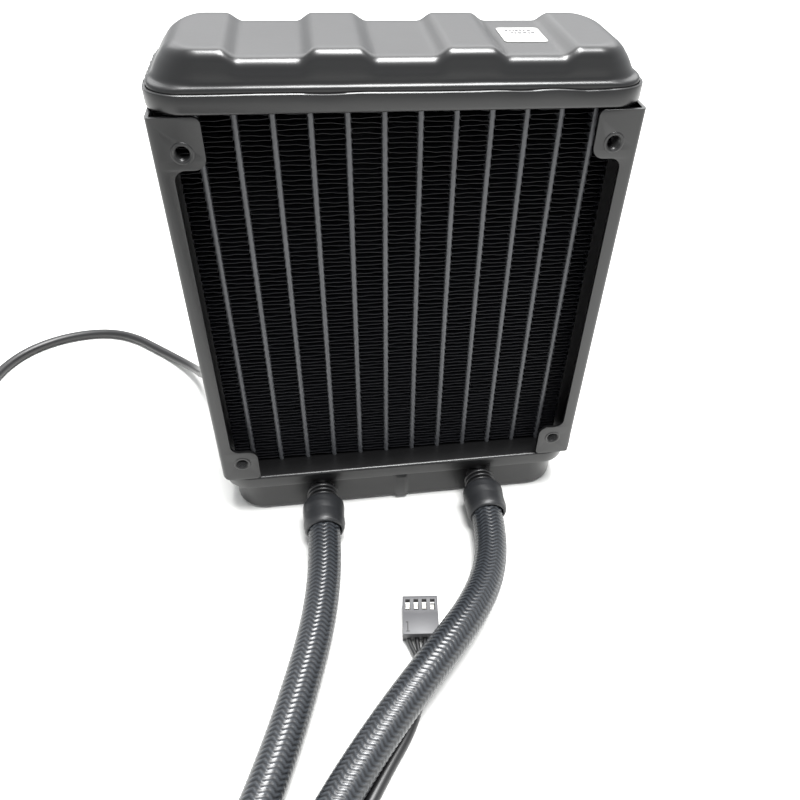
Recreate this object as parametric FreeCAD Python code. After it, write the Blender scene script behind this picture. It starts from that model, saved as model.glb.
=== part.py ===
"""Closed-loop liquid cooling radiator with its fan, hoses and pump head.

Millimetres.  +X is right, +Y is back and +Z is up.  The origin is on the table under the radiator's centre,
and the hoses leave the front of the lower tank.
"""

import FreeCAD
import Part
import math
import os

from FreeCAD import Vector

# ---------------------------------------------------------------- driving dimensions: radiator
RIM_HALF_X, RIM_HALF_Y, RIM_CORNER = 60.0, 19.0, 9.0
SHEET = 1.0  # steel sheet of the frames and header plates
HEADER_LOW_TOP, HEADER_HIGH_BOTTOM = 17.5, 138.5
RIM_LOW_BOTTOM, RIM_HIGH_TOP = 12.6, 143.2
TANK_WALL = 1.2
FLANGE_THICK = 1.8

UPPER_BODY_HALF_X, UPPER_BODY_HALF_Y, UPPER_BODY_CORNER = 58.3, 17.3, 7.5
UPPER_TOP, UPPER_VALLEY = 151.6, 149.7
RIDGE_PERIOD, RIDGE_FLAT, RIDGE_SLOPE = 30.8, 9.7, 3.7

LOWER_BODY_HALF_X, LOWER_BODY_HALF_Y, LOWER_BODY_CORNER = 57.2, 17.5, 10.0
LOWER_EDGE_ROUND = 1.6
RIB_HALF_WIDTH, RIB_HEIGHT = 2.0, 0.5

CORE_HALF_DEPTH = 11.25
TUBE_COUNT, TUBE_PITCH, TUBE_WIDTH, TUBE_WALL = 12, 9.025, 1.6, 0.25
TUBE_BOTTOM, TUBE_TOP = 15.0, 141.0
FIN_PITCH, FIN_SHEET = 2.6, 0.16
SIDE_PLATE_X, SIDE_PLATE_SHEET = 55.4, 0.8

FRAME_HALF_X, FRAME_BOTTOM, FRAME_TOP = 59.5, 17.5, 137.5
STRIP_INNER_X = 55.4
TAB_INNER_X, TAB_LENGTH = 47.4, 12.5
HOLE_X, HOLE_LOW_Z, HOLE_HIGH_Z = 52.5, 25.0, 130.0
HOLE_RADIUS, HOLE_MOUTH_RADIUS, HOLE_COLLAR_RADIUS, HOLE_COLLAR_LENGTH = 1.7, 2.3, 2.7, 1.4

LABEL_CENTRE, LABEL_SIZE, LABEL_THICK = (31.1, 1.2), (11.0, 11.7), 0.2

# ---------------------------------------------------------------- driving dimensions: hoses
PORT_X, PORT_Z, PORT_TILT = 27.6, 8.4, 3.5  # the two stubs in the lower tank's front wall
STUB_BORE, STUB_ROOT_RADIUS, STUB_RING_RADIUS = 3.0, 4.0, 5.3
STUB_INSIDE, STUB_LENGTH = 1.8, 8.6
HOSE_DIAMETER, COLLAR_RADIUS = 10.6, 7.0
COLLAR_START, COLLAR_END = 7.0, 18.4  # distances from the tank wall
COLLAR_CLEARANCE = 0.1  # between the hose and the collar that grips it

# ---------------------------------------------------------------- driving dimensions: fan
FAN_CENTRE_Z, FAN_HALF, FAN_DEPTH = 77.5, 60.0, 25.0
FAN_FRONT = RIM_HALF_Y
FAN_BACK = FAN_FRONT + FAN_DEPTH
FAN_FLANGE, FAN_DUCT_RADIUS, FAN_DUCT_WALL = 4.0, 57.3, 2.0
BLADE_COUNT, BLADE_TIP_RADIUS, HUB_RADIUS = 9, 56.2, 19.5
FAN_SHAFT_RADIUS = 1.5

# ---------------------------------------------------------------- driving dimensions: pump head
PUMP_X, PUMP_Y, PUMP_TURN = -108.0, -266.0, -23.0  # centre on the table, and turn about +Z in degrees
PUMP_RADIUS, PUMP_PORT_Z, PUMP_PORT_X = 32.0, 10.0, 12.0
PLATE_RADIUS, PLATE_THICK = 27.0, 3.0
WET_RADIUS, WET_TOP, DRY_FLOOR, DRY_RADIUS, HOUSING_TOP = 20.0, 14.0, 15.5, 28.0, 27.0
PUMP_STUB_END, PUMP_COLLAR_START, PUMP_COLLAR_END = 44.0, 41.0, 54.0
BRACKET_Z, BRACKET_THICK, BOLT_CIRCLE = 18.0, 2.5, 75.0 / math.sqrt(2)

# ---------------------------------------------------------------- driving dimensions: leads
LEAD_DIAMETER = 3.6
PUMP_LEAD_ANGLE, PUMP_LEAD_Z = 20.0, 24.0  # where the lead leaves the pump's side, in the pump's own frame
COIL_CENTRE, COIL_RADIUS, COIL_TURNS = (-170.0, 8.0), 22.0, 2
CONNECTOR_WIDTH, CONNECTOR_LENGTH, CONNECTOR_HEIGHT, CONNECTOR_TAIL = 10.8, 13.0, 5.8, 3.0
WAY_PITCH, WINDOW_BACK, WINDOW_FRONT = 2.54, -4.8, -1.1  # the windows, measured back from the open end
PUMP_CONNECTOR_FRONT, PUMP_CONNECTOR_TURN = (0.2, -63.1), -6.2  # middle of its open end, and turn about +Z

SMALL = 0.05


def box(x0, x1, y0, y1, z0, z1):
    """A box from its lowest to its highest corner."""
    return Part.makeBox(x1 - x0, y1 - y0, z1 - z0, Vector(x0, y0, z0))


def rod(radius, start, direction, length):
    """A cylinder from start along direction."""
    return Part.makeCylinder(radius, length, Vector(*start), Vector(*direction))


def ring(outer, inner, start, direction, length):
    """A tube from start along direction."""
    step = Vector(*direction).normalize()
    begin = Vector(*start) - step * SMALL
    return rod(outer, start, direction, length).cut(rod(inner, begin, direction, length + 2 * SMALL))


def plate(half_x, half_y, corner, z0, z1, centre=(0.0, 0.0)):
    """A flat plate with rounded corners in plan."""
    cx, cy = centre
    edges = []
    cut = corner * (1 - math.sqrt(0.5))
    for sx, sy in ((1, 1), (-1, 1), (-1, -1), (1, -1)):
        on_x = Vector(cx + sx * half_x, cy + sy * (half_y - corner), z0)
        on_y = Vector(cx + sx * (half_x - corner), cy + sy * half_y, z0)
        middle = Vector(cx + sx * (half_x - cut), cy + sy * (half_y - cut), z0)
        first, last = (on_x, on_y) if sx * sy > 0 else (on_y, on_x)
        edges.append((first, middle, last))
    parts = []
    for index, (first, middle, last) in enumerate(edges):
        parts.append(Part.Arc(first, middle, last).toShape())
        parts.append(Part.LineSegment(last, edges[(index + 1) % 4][0]).toShape())
    return Part.Face(Part.Wire(parts)).extrude(Vector(0, 0, z1 - z0))


def prism_xz(points, y0, y1):
    """A polygon in the XZ plane, pushed from y0 to y1."""
    corners = [Vector(x, y0, z) for x, z in points]
    face = Part.Face(Part.makePolygon(corners + corners[:1]))
    return face.extrude(Vector(0, y1 - y0, 0))


def mirror_x(shape):
    """The same piece on the other side of the radiator."""
    return shape.mirror(Vector(0, 0, 0), Vector(1, 0, 0))


def fuse(pieces):
    """One solid from pieces that touch or overlap."""
    whole = pieces[0].multiFuse(pieces[1:]) if len(pieces) > 1 else pieces[0]
    return whole.removeSplitter()


def revolve_y(profile, centre_x, centre_z):
    """Turn (radius, y) points about the line through centre_x, centre_z along +Y."""
    corners = [Vector(centre_x + radius, y, centre_z) for radius, y in profile]
    face = Part.Face(Part.makePolygon(corners + corners[:1]))
    return face.revolve(Vector(centre_x, 0, centre_z), Vector(0, 1, 0), 360)


def export(name, shape):
    """Write one piece, or one group of equal pieces, to its own STEP file."""
    for solid in shape.Solids:
        assert solid.isValid(), name
    print(f"{name:28s} solids {len(shape.Solids):3d}  volume {shape.Volume:10.1f}")
    shape.exportStep(f"parts/{name}.step")


# ---------------------------------------------------------------- cords
def rounded_path(points):
    """Straight runs joined by tangent arcs, each as large as its two runs allow."""
    points = [Vector(*p) for p in points]
    edges, radii = [], []
    here = points[0]
    for before, corner, after in zip(points, points[1:], points[2:]):
        back, ahead = before - corner, after - corner
        shorter = min(back.Length, ahead.Length)
        half_turn = (math.pi - back.getAngle(ahead)) / 2
        trim = 0.45 * shorter
        radius = trim / math.tan(half_turn)
        back.normalize()
        ahead.normalize()
        start, end = corner + back * trim, corner + ahead * trim
        bisector = (back + ahead).normalize()
        middle = corner + bisector * (radius / math.cos(half_turn) - radius)
        edges.append(Part.LineSegment(here, start).toShape())
        edges.append(Part.Arc(start, middle, end).toShape())
        radii.append(radius)
        here = end
    edges.append(Part.LineSegment(here, points[-1]).toShape())
    return Part.Wire(edges), radii


def cord_tube(name, points, diameter):
    """The solid of a cord along its route."""
    path, radii = rounded_path(points)
    along = Vector(*points[1]) - Vector(*points[0])
    section = Part.Wire(Part.makeCircle(diameter / 2, Vector(*points[0]), along))
    tube = path.makePipeShell([section], True, False)
    expected = path.Length * math.pi * diameter**2 / 4
    print(f"{name}: length {path.Length:.1f}, radii {[round(r) for r in radii]}, "
          f"volume share {tube.Volume / expected:.4f}")
    return tube


# ---------------------------------------------------------------- radiator: tanks and header plates
def tube_centres():
    """The X of every coolant tube, left to right."""
    return [TUBE_PITCH * (index - (TUBE_COUNT - 1) / 2) for index in range(TUBE_COUNT)]


def tube_outline(x, width, half_depth, z0, z1):
    """A flat tube's outer or inner shape: straight sides and half-round ends."""
    return plate(width / 2, half_depth, width / 2 - 0.01, z0, z1, (x, 0.0))


def header_plate(plate_z, rim_far_z):
    """A tray of sheet steel, slotted for the tubes, whose rim holds the tank's flange."""
    inward = 1 if rim_far_z > plate_z else -1
    plate_low, plate_high = sorted((plate_z, plate_z + inward * SHEET))
    low, high = min(plate_low, rim_far_z), max(plate_high, rim_far_z)
    tray = plate(RIM_HALF_X, RIM_HALF_Y, RIM_CORNER, low, high)
    if inward > 0:
        inner_low, inner_high = plate_high, high
    else:
        inner_low, inner_high = low, plate_low
    room = plate(RIM_HALF_X - SHEET, RIM_HALF_Y - SHEET, RIM_CORNER - SHEET, inner_low, inner_high)
    slots = [tube_outline(x, TUBE_WIDTH, CORE_HALF_DEPTH, plate_low, plate_high) for x in tube_centres()]
    return tray.cut(room).cut(Part.makeCompound(slots))


def upper_tank():
    """The scalloped upper tank, hollow and open below, with its flange."""
    base = HEADER_HIGH_BOTTOM + SHEET
    flange = plate(RIM_HALF_X - SHEET, RIM_HALF_Y - SHEET, RIM_CORNER - SHEET, base, base + FLANGE_THICK)
    body = plate(UPPER_BODY_HALF_X, UPPER_BODY_HALF_Y, UPPER_BODY_CORNER, base, UPPER_TOP)
    top_edges = [edge for edge in body.Edges if edge.BoundBox.ZMin > UPPER_TOP - SMALL]
    body = body.makeFillet(2.4, top_edges)
    foot, head = RIDGE_PERIOD / 2 - RIDGE_FLAT / 2 - RIDGE_SLOPE, RIDGE_PERIOD / 2 - RIDGE_FLAT / 2
    above = UPPER_TOP + 1.0
    deep = UPPER_BODY_HALF_Y + 1.0
    for centre in (-RIDGE_PERIOD, 0.0, RIDGE_PERIOD):
        valley = [(centre - foot, UPPER_VALLEY), (centre + foot, UPPER_VALLEY), (centre + head, UPPER_TOP),
                  (centre + head, above), (centre - head, above), (centre - head, UPPER_TOP)]
        body = body.cut(prism_xz(valley, -deep, deep))
    last_ridge = 1.5 * RIDGE_PERIOD + RIDGE_FLAT / 2
    end = [(last_ridge, UPPER_TOP), (last_ridge, above), (UPPER_BODY_HALF_X + 1, above),
           (UPPER_BODY_HALF_X + 1, UPPER_VALLEY), (last_ridge + RIDGE_SLOPE, UPPER_VALLEY)]
    step = prism_xz(end, -deep, deep)
    body = body.cut(step).cut(mirror_x(step))
    room = plate(UPPER_BODY_HALF_X - TANK_WALL, UPPER_BODY_HALF_Y - TANK_WALL,
                 UPPER_BODY_CORNER - TANK_WALL, base, UPPER_VALLEY - TANK_WALL)
    return fuse([flange, body]).cut(room)


def port_direction():
    """The unit vector of the radiator's stubs, out of the tank and slightly down."""
    tilt = math.radians(PORT_TILT)
    return Vector(0, -math.cos(tilt), -math.sin(tilt))


def port_point(x, distance):
    """A point on a stub's axis, at a distance outside the tank's front wall."""
    return Vector(x, -LOWER_BODY_HALF_Y, PORT_Z) + port_direction() * distance


def lower_tank():
    """The lower tank, hollow and open above, with its flange, front rib and two port holes."""
    top = HEADER_LOW_TOP - SHEET
    flange = plate(RIM_HALF_X - SHEET, RIM_HALF_Y - SHEET, RIM_CORNER - SHEET, top - FLANGE_THICK, top)
    body = plate(LOWER_BODY_HALF_X, LOWER_BODY_HALF_Y, LOWER_BODY_CORNER, 0.0, top)
    bottom_edges = [edge for edge in body.Edges if edge.BoundBox.ZMax < SMALL]
    body = body.makeFillet(LOWER_EDGE_ROUND, bottom_edges)
    rib = box(-RIB_HALF_WIDTH, RIB_HALF_WIDTH, -LOWER_BODY_HALF_Y - RIB_HEIGHT, -LOWER_BODY_HALF_Y + 1,
              LOWER_EDGE_ROUND, RIM_LOW_BOTTOM - 0.4)
    room = plate(LOWER_BODY_HALF_X - TANK_WALL, LOWER_BODY_HALF_Y - TANK_WALL,
                 LOWER_BODY_CORNER - TANK_WALL, TANK_WALL, top)
    tank = fuse([flange, body, rib]).cut(room)
    for x in (-PORT_X, PORT_X):
        tank = tank.cut(rod(STUB_ROOT_RADIUS, port_point(x, -6.0), port_direction(), 12.0))
    return tank


def tank_divider():
    """The wall that parts the lower tank into an inlet half and an outlet half."""
    half = TANK_WALL / 2
    deep = LOWER_BODY_HALF_Y - TANK_WALL
    return box(-half, half, -deep, deep, TANK_WALL, HEADER_LOW_TOP - SHEET)


def label():
    """The small square label in the right-hand valley of the upper tank."""
    width, depth = LABEL_SIZE
    return plate(width / 2, depth / 2, 1.0, UPPER_VALLEY, UPPER_VALLEY + LABEL_THICK, LABEL_CENTRE)


# ---------------------------------------------------------------- radiator: core
def coolant_tube(x):
    """One flat tube, open at both ends, that stands in the slots of the two header plates."""
    outer = tube_outline(x, TUBE_WIDTH, CORE_HALF_DEPTH, TUBE_BOTTOM, TUBE_TOP)
    inner = tube_outline(x, TUBE_WIDTH - 2 * TUBE_WALL, CORE_HALF_DEPTH - TUBE_WALL, TUBE_BOTTOM, TUBE_TOP)
    return outer.cut(inner)


def fin_strip(left, right):
    """One strip of sheet folded to and fro between two walls, from header to header."""
    crest, half = 0.4, FIN_SHEET / 2
    low, high = HEADER_LOW_TOP + 0.5, HEADER_HIGH_BOTTOM - 0.5
    centre_line = []
    for fold in range(int((high - low) / (FIN_PITCH / 2))):
        x = left + half if fold % 2 else right - half
        z = low + fold * FIN_PITCH / 2
        centre_line += [Vector(x, 0, z), Vector(x, 0, z + crest)]
    runs = [(after - before).normalize() for before, after in zip(centre_line, centre_line[1:])]
    one_side, other_side = [], []
    for index, point in enumerate(centre_line):
        before, after = runs[max(index - 1, 0)], runs[min(index, len(runs) - 1)]
        mean = (before + after).normalize()
        offset = Vector(-mean.z, 0, mean.x) * (half / mean.dot(after))
        one_side.append(((point + offset).x, (point + offset).z))
        other_side.append(((point - offset).x, (point - offset).z))
    deep = CORE_HALF_DEPTH - 0.25
    return prism_xz(one_side + other_side[::-1], -deep, deep)


def cooling_fins():
    """All the fin strips: one in every gap between tubes, and a narrower one at each end."""
    tubes = tube_centres()
    strips = []
    for left, right in zip(tubes, tubes[1:]):
        strips.append(fin_strip(left + TUBE_WIDTH / 2, right - TUBE_WIDTH / 2))
    strips.append(fin_strip(tubes[-1] + TUBE_WIDTH / 2, SIDE_PLATE_X))
    strips.append(fin_strip(-SIDE_PLATE_X, tubes[0] - TUBE_WIDTH / 2))
    return Part.makeCompound(strips)


def side_plate():
    """The channel that closes the right end of the core and stands off the side frame."""
    far = FRAME_HALF_X - SHEET
    deep = CORE_HALF_DEPTH
    outer = box(SIDE_PLATE_X, far, -deep, deep, HEADER_LOW_TOP, HEADER_HIGH_BOTTOM)
    room = box(SIDE_PLATE_X + SIDE_PLATE_SHEET, far, -deep + SIDE_PLATE_SHEET, deep - SIDE_PLATE_SHEET,
               HEADER_LOW_TOP, HEADER_HIGH_BOTTOM)
    return outer.cut(room)


def side_frame():
    """The right-hand channel of painted sheet, with a strip and two screw tabs at the front and back."""
    pieces = [box(FRAME_HALF_X - SHEET, FRAME_HALF_X, -RIM_HALF_Y, RIM_HALF_Y, FRAME_BOTTOM, FRAME_TOP)]
    outline = [(FRAME_HALF_X, FRAME_BOTTOM), (FRAME_HALF_X, FRAME_TOP), (TAB_INNER_X, FRAME_TOP),
               (TAB_INNER_X, FRAME_TOP - TAB_LENGTH), (STRIP_INNER_X, FRAME_TOP - TAB_LENGTH),
               (STRIP_INNER_X, FRAME_BOTTOM + TAB_LENGTH), (TAB_INNER_X, FRAME_BOTTOM + TAB_LENGTH),
               (TAB_INNER_X, FRAME_BOTTOM)]
    for y0, y1 in ((-RIM_HALF_Y, -RIM_HALF_Y + SHEET), (RIM_HALF_Y - SHEET, RIM_HALF_Y)):
        strip = prism_xz(outline, y0, y1)
        corners = [edge for edge in strip.Edges if edge.BoundBox.XMax < STRIP_INNER_X + SMALL
                   and edge.BoundBox.YLength > SHEET / 2]
        pieces.append(strip.makeFillet(2.6, corners))
    frame = fuse(pieces)
    bends = [edge for edge in frame.Edges if edge.BoundBox.XMin > FRAME_HALF_X - SMALL
             and edge.BoundBox.ZLength > 100]
    frame = frame.makeFillet(0.9, bends)
    for side in (-1, 1):
        face_y = side * RIM_HALF_Y
        inward = (0, -side, 0)
        for z in (HOLE_LOW_Z, HOLE_HIGH_Z):
            collar = rod(HOLE_COLLAR_RADIUS, (HOLE_X, face_y - side * SHEET / 2, z), inward,
                         SHEET / 2 + HOLE_COLLAR_LENGTH)
            hole = rod(HOLE_RADIUS, (HOLE_X, face_y + side, z), inward, SHEET + HOLE_COLLAR_LENGTH + 2)
            mouth = Part.makeCone(HOLE_MOUTH_RADIUS, HOLE_RADIUS, 0.5, Vector(HOLE_X, face_y, z),
                                  Vector(*inward))
            frame = frame.fuse(collar).cut(hole).cut(mouth)
    return frame.removeSplitter()


# ---------------------------------------------------------------- radiator ports, hoses and collars
def along_y(shape, start, direction):
    """Carry a piece built along +Y from the origin to start, pointing along direction."""
    moved = shape.copy()
    moved.Placement = FreeCAD.Placement(start, FreeCAD.Rotation(Vector(0, 1, 0), direction))
    return moved


def ringed_stub(inside, length, rings_from):
    """A hollow stub along +Y: a plain root in the wall, three rings, and a spigot for the hose's end."""
    spigot = HOSE_DIAMETER / 2
    groove = STUB_RING_RADIUS - 0.9
    profile = [(STUB_BORE, -inside), (STUB_ROOT_RADIUS, -inside), (STUB_ROOT_RADIUS, rings_from)]
    y = rings_from
    for _ in range(3):
        profile += [(groove, y), (STUB_RING_RADIUS, y + 0.35), (STUB_RING_RADIUS, y + 1.05), (groove, y + 1.4)]
        y += 1.6
    profile += [(groove, y), (spigot, y), (spigot, length), (STUB_BORE, length)]
    return revolve_y(profile, 0.0, 0.0)


def sleeve(length):
    """A heat-shrunk collar along +Y, with softened ends."""
    bore = HOSE_DIAMETER / 2 + COLLAR_CLEARANCE
    profile = [(bore, 0.0), (COLLAR_RADIUS - 0.7, 0.0), (COLLAR_RADIUS, 0.9), (COLLAR_RADIUS, length - 0.5),
               (COLLAR_RADIUS - 0.4, length), (bore, length)]
    return revolve_y(profile, 0.0, 0.0)


def pump_place(shape):
    """Carry a piece built about the pump's own axis to where the pump head lies."""
    moved = shape.copy()
    turn = FreeCAD.Rotation(Vector(0, 0, 1), PUMP_TURN)
    moved.Placement = FreeCAD.Placement(Vector(PUMP_X, PUMP_Y, 0), turn).multiply(moved.Placement)
    return moved


def pump_point(x, y, z):
    """A point given in the pump's own frame, in the radiator's frame."""
    turn = FreeCAD.Rotation(Vector(0, 0, 1), PUMP_TURN)
    return turn.multVec(Vector(x, y, z)) + Vector(PUMP_X, PUMP_Y, 0)


# The hoses lie on the table from the radiator's collars to the pump's.  The right one rides over the pump lead.
HOSE_LEFT_MIDDLE = [(-27.8, -41.0, 6.9), (-28.8, -55.0, 5.7), (-31.8, -71.0, 5.4), (-36.6, -87.0, 5.35),
                    (-42.4, -104.0, 5.4), (-49.8, -122.0, 5.35), (-59.4, -140.6, 5.4), (-70.2, -159.0, 5.35),
                    (-80.2, -176.8, 5.6), (-89.0, -193.0, 7.6)]
HOSE_RIGHT_MIDDLE = [(27.4, -38.6, 7.0), (25.8, -50.0, 6.6), (22.0, -60.7, 7.4), (15.8, -70.8, 9.0),
                     (7.9, -80.2, 10.2), (-2.0, -90.2, 10.2), (-11.8, -100.0, 8.8), (-21.4, -110.2, 6.8),
                     (-29.8, -120.4, 5.5), (-39.8, -134.8, 5.35), (-49.2, -151.0, 5.4), (-57.4, -168.2, 5.35),
                     (-64.2, -184.8, 5.9), (-69.6, -201.0, 7.8)]


def hose_route(side):
    """All the points of a hose's route, from the radiator's stub to the pump's."""
    middle = HOSE_LEFT_MIDDLE if side < 0 else HOSE_RIGHT_MIDDLE
    start = tuple(port_point(side * PORT_X, STUB_LENGTH))
    near_end = tuple(pump_point(side * PUMP_PORT_X, PUMP_COLLAR_END + 4.0, PUMP_PORT_Z - 0.2))
    end = tuple(pump_point(side * PUMP_PORT_X, PUMP_STUB_END, PUMP_PORT_Z))
    return [start, *middle, near_end, end]


# ---------------------------------------------------------------- fan
def fan_frame():
    """The square fan housing: two flanges, a round duct, four struts and the bearing's boss."""
    low, high = FAN_CENTRE_Z - FAN_HALF, FAN_CENTRE_Z + FAN_HALF
    block = box(-FAN_HALF, FAN_HALF, FAN_FRONT, FAN_BACK, low, high)
    uprights = [edge for edge in block.Edges if edge.BoundBox.YLength > FAN_DEPTH / 2]
    block = block.makeFillet(5.0, uprights)
    centre = (0, FAN_FRONT, FAN_CENTRE_Z)
    duct = rod(FAN_DUCT_RADIUS + FAN_DUCT_WALL, centre, (0, 1, 0), FAN_DEPTH)
    waist = box(-FAN_HALF - 1, FAN_HALF + 1, FAN_FRONT + FAN_FLANGE, FAN_BACK - FAN_FLANGE, low - 1, high + 1)
    block = block.cut(waist.cut(duct))
    block = block.cut(rod(FAN_DUCT_RADIUS, centre, (0, 1, 0), FAN_DEPTH))
    base_y = FAN_BACK - 3.0
    boss = ring(6.5, 4.0, (0, FAN_FRONT + 7.0, FAN_CENTRE_Z), (0, 1, 0), FAN_DEPTH - 10.0)
    base = rod(21.0, (0, base_y, FAN_CENTRE_Z), (0, 1, 0), 3.0)
    struts = []
    for corner in range(4):
        strut = box(-2.5, 2.5, base_y, FAN_BACK, FAN_CENTRE_Z + 20.0, FAN_CENTRE_Z + FAN_DUCT_RADIUS + 1.0)
        strut.rotate(Vector(0, 0, FAN_CENTRE_Z), Vector(0, 1, 0), 30 + 90 * corner)
        struts.append(strut)
    whole = fuse([block, base, boss, *struts])
    for x in (-HOLE_X, HOLE_X):
        for z in (HOLE_LOW_Z, HOLE_HIGH_Z):
            whole = whole.cut(rod(2.15, (x, FAN_FRONT - 1, z), (0, 1, 0), FAN_DEPTH + 2))
    return whole.removeSplitter()


def fan_blade(turn):
    """One pitched blade, from inside the hub's wall to just short of the duct."""
    middle_y = FAN_FRONT + 11.0
    wires = []
    for radius, chord, pitch, sweep in ((HUB_RADIUS - 0.8, 13.0, 50.0, 0.0), (38.0, 23.0, 40.0, 6.0),
                                        (BLADE_TIP_RADIUS, 30.0, 30.0, 15.0)):
        pitch = math.radians(pitch)
        along = Vector(math.cos(pitch), math.sin(pitch), 0)
        across = Vector(-math.sin(pitch), math.cos(pitch), 0)
        centre = Vector(sweep, middle_y, radius)
        half = chord / 2
        corners = [centre + along * a + across * b for a, b in ((-half, -0.6), (half, -0.6), (half, 0.6),
                                                                (-half, 0.6))]
        wires.append(Part.makePolygon(corners + corners[:1]))
    blade = Part.makeLoft(wires, True, True)
    limit = rod(BLADE_TIP_RADIUS, (0, FAN_FRONT, 0), (0, 1, 0), FAN_DEPTH)
    blade = blade.common(limit)
    blade.rotate(Vector(0, 0, 0), Vector(0, 1, 0), turn)
    blade.translate(Vector(0, 0, FAN_CENTRE_Z))
    return blade


def fan_rotor():
    """The hub's cup with its blades; the cup is open to the back, over the motor."""
    front, back = FAN_FRONT + 1.5, FAN_BACK - 6.0
    profile = [(FAN_SHAFT_RADIUS, front), (HUB_RADIUS, front), (HUB_RADIUS, back), (HUB_RADIUS - 1.2, back),
               (HUB_RADIUS - 1.2, front + 2.0), (4.0, front + 2.0), (4.0, front + 4.0),
               (FAN_SHAFT_RADIUS, front + 4.0)]
    hub = revolve_y(profile, 0.0, FAN_CENTRE_Z)
    blades = [fan_blade(360 / BLADE_COUNT * index) for index in range(BLADE_COUNT)]
    inside = rod(HUB_RADIUS - 0.6, (0, FAN_FRONT, FAN_CENTRE_Z), (0, 1, 0), FAN_DEPTH)
    blades = [blade.cut(inside) for blade in blades]
    return fuse([hub, *blades])


def toothed_core(outer, inner, poles, start, direction, length):
    """A wound motor core: a ring with a pole and its coil at each side, as one closed solid."""
    core = ring(outer, inner, start, direction, length)
    slots = []
    for pole in range(poles):
        slot = box(inner + 2.0, outer + 1.0, -0.8, 0.8, 0.0, length)
        slot.rotate(Vector(0, 0, 0), Vector(0, 0, 1), 360 / poles * (pole + 0.5))
        slots.append(slot)
    slots = Part.makeCompound(slots)
    slots.Placement = FreeCAD.Placement(Vector(*start), FreeCAD.Rotation(Vector(0, 0, 1), Vector(*direction)))
    return core.cut(slots)


def fan_screws():
    """Four long screws from the back of the fan into the threaded tabs of the radiator."""
    screws = []
    for x in (-HOLE_X, HOLE_X):
        for z in (HOLE_LOW_Z, HOLE_HIGH_Z):
            shank = rod(HOLE_RADIUS - SMALL, (x, FAN_FRONT - 2.2, z), (0, 1, 0), FAN_DEPTH + 2.4)
            head = rod(3.6, (x, FAN_BACK, z), (0, 1, 0), 2.2)
            head = head.makeFillet(0.8, [edge for edge in head.Edges if edge.BoundBox.YMin > FAN_BACK + 2.0])
            cross = [box(x - a, x + a, FAN_BACK + 1.0, FAN_BACK + 3.0, z - b, z + b)
                     for a, b in ((2.0, 0.4), (0.4, 2.0))]
            screws.append(shank.fuse(head).cut(cross[0]).cut(cross[1]).removeSplitter())
    return Part.makeCompound(screws)


# ---------------------------------------------------------------- pump head, in its own frame
def cold_plate():
    """The copper base with its fine cooling fins inside the pump."""
    base = rod(PLATE_RADIUS, (0, 0, 0), (0, 0, 1), PLATE_THICK)
    base = base.makeChamfer(0.4, [edge for edge in base.Edges if edge.BoundBox.ZMax < SMALL])
    fins = [box(x - 0.4, x + 0.4, -9.0, 9.0, PLATE_THICK - 0.5, PLATE_THICK + 1.5) for x in
            [2.0 * step for step in range(-4, 5)]]
    whole = fuse([base, *fins])
    return whole.cut(Part.makeCompound([plate_screw(turn, 1.5, 2.9) for turn in plate_screw_turns()]))


def plate_screw_turns():
    """The angles of the screws that hold the cold plate."""
    return [45.0 * index for index in range(8)]


def plate_screw(turn, shank, head):
    """One countersunk screw, or the hole that it fills, under the cold plate."""
    profile = [(0.0, 0.3), (head - 0.2, 0.3), (shank, 1.9), (shank, 7.6), (0.0, 7.6)]
    corners = [Vector(radius, 0, z) for radius, z in profile]
    screw = Part.Face(Part.makePolygon(corners + corners[:1])).revolve(Vector(0, 0, 0), Vector(0, 0, 1), 360)
    mouth = rod(head - 0.2, (0, 0, -0.2), (0, 0, 1), 0.5)
    if head > 2.8:
        screw = screw.fuse(mouth)
    screw.translate(Vector(24.0, 0, 0))
    screw.rotate(Vector(0, 0, 0), Vector(0, 0, 1), turn)
    return screw


def pump_housing():
    """The moulded body: a wet chamber below, a dry one above, and two side ports."""
    body = rod(PUMP_RADIUS, (0, 0, PLATE_THICK), (0, 0, 1), HOUSING_TOP - PLATE_THICK)
    lower_edge = [edge for edge in body.Edges if edge.BoundBox.ZMax < PLATE_THICK + SMALL]
    body = body.makeFillet(1.2, lower_edge)
    body = body.cut(rod(WET_RADIUS, (0, 0, PLATE_THICK), (0, 0, 1), WET_TOP - PLATE_THICK))
    body = body.cut(rod(DRY_RADIUS, (0, 0, DRY_FLOOR), (0, 0, 1), HOUSING_TOP - DRY_FLOOR))
    body = body.cut(rod(1.0, (0, 0, WET_TOP - 1), (0, 0, 1), 2.0))
    body = body.cut(ring(22.2, 20.8, (0, 0, PLATE_THICK), (0, 0, 1), 1.2))
    bosses = []
    for x in (-PUMP_PORT_X, PUMP_PORT_X):
        bosses.append(rod(6.4, (x, 20.0, PUMP_PORT_Z), (0, 1, 0), 15.0))
    body = body.fuse(Part.makeCompound(bosses).cut(rod(PUMP_RADIUS - 4, (0, 0, 0), (0, 0, 1), HOUSING_TOP)))
    for x in (-PUMP_PORT_X, PUMP_PORT_X):
        body = body.cut(rod(STUB_ROOT_RADIUS, (x, 14.0, PUMP_PORT_Z), (0, 1, 0), 24.0))
    for turn in plate_screw_turns():
        body = body.cut(plate_screw(turn, 1.5, 2.6))
    return body.removeSplitter()


def pump_stub(side):
    """One ringed stub of the pump head."""
    stub = ringed_stub(8.0, PUMP_STUB_END - 35.0, 0.8)
    return along_y(stub, Vector(side * PUMP_PORT_X, 35.0, PUMP_PORT_Z), Vector(0, 1, 0))


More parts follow.
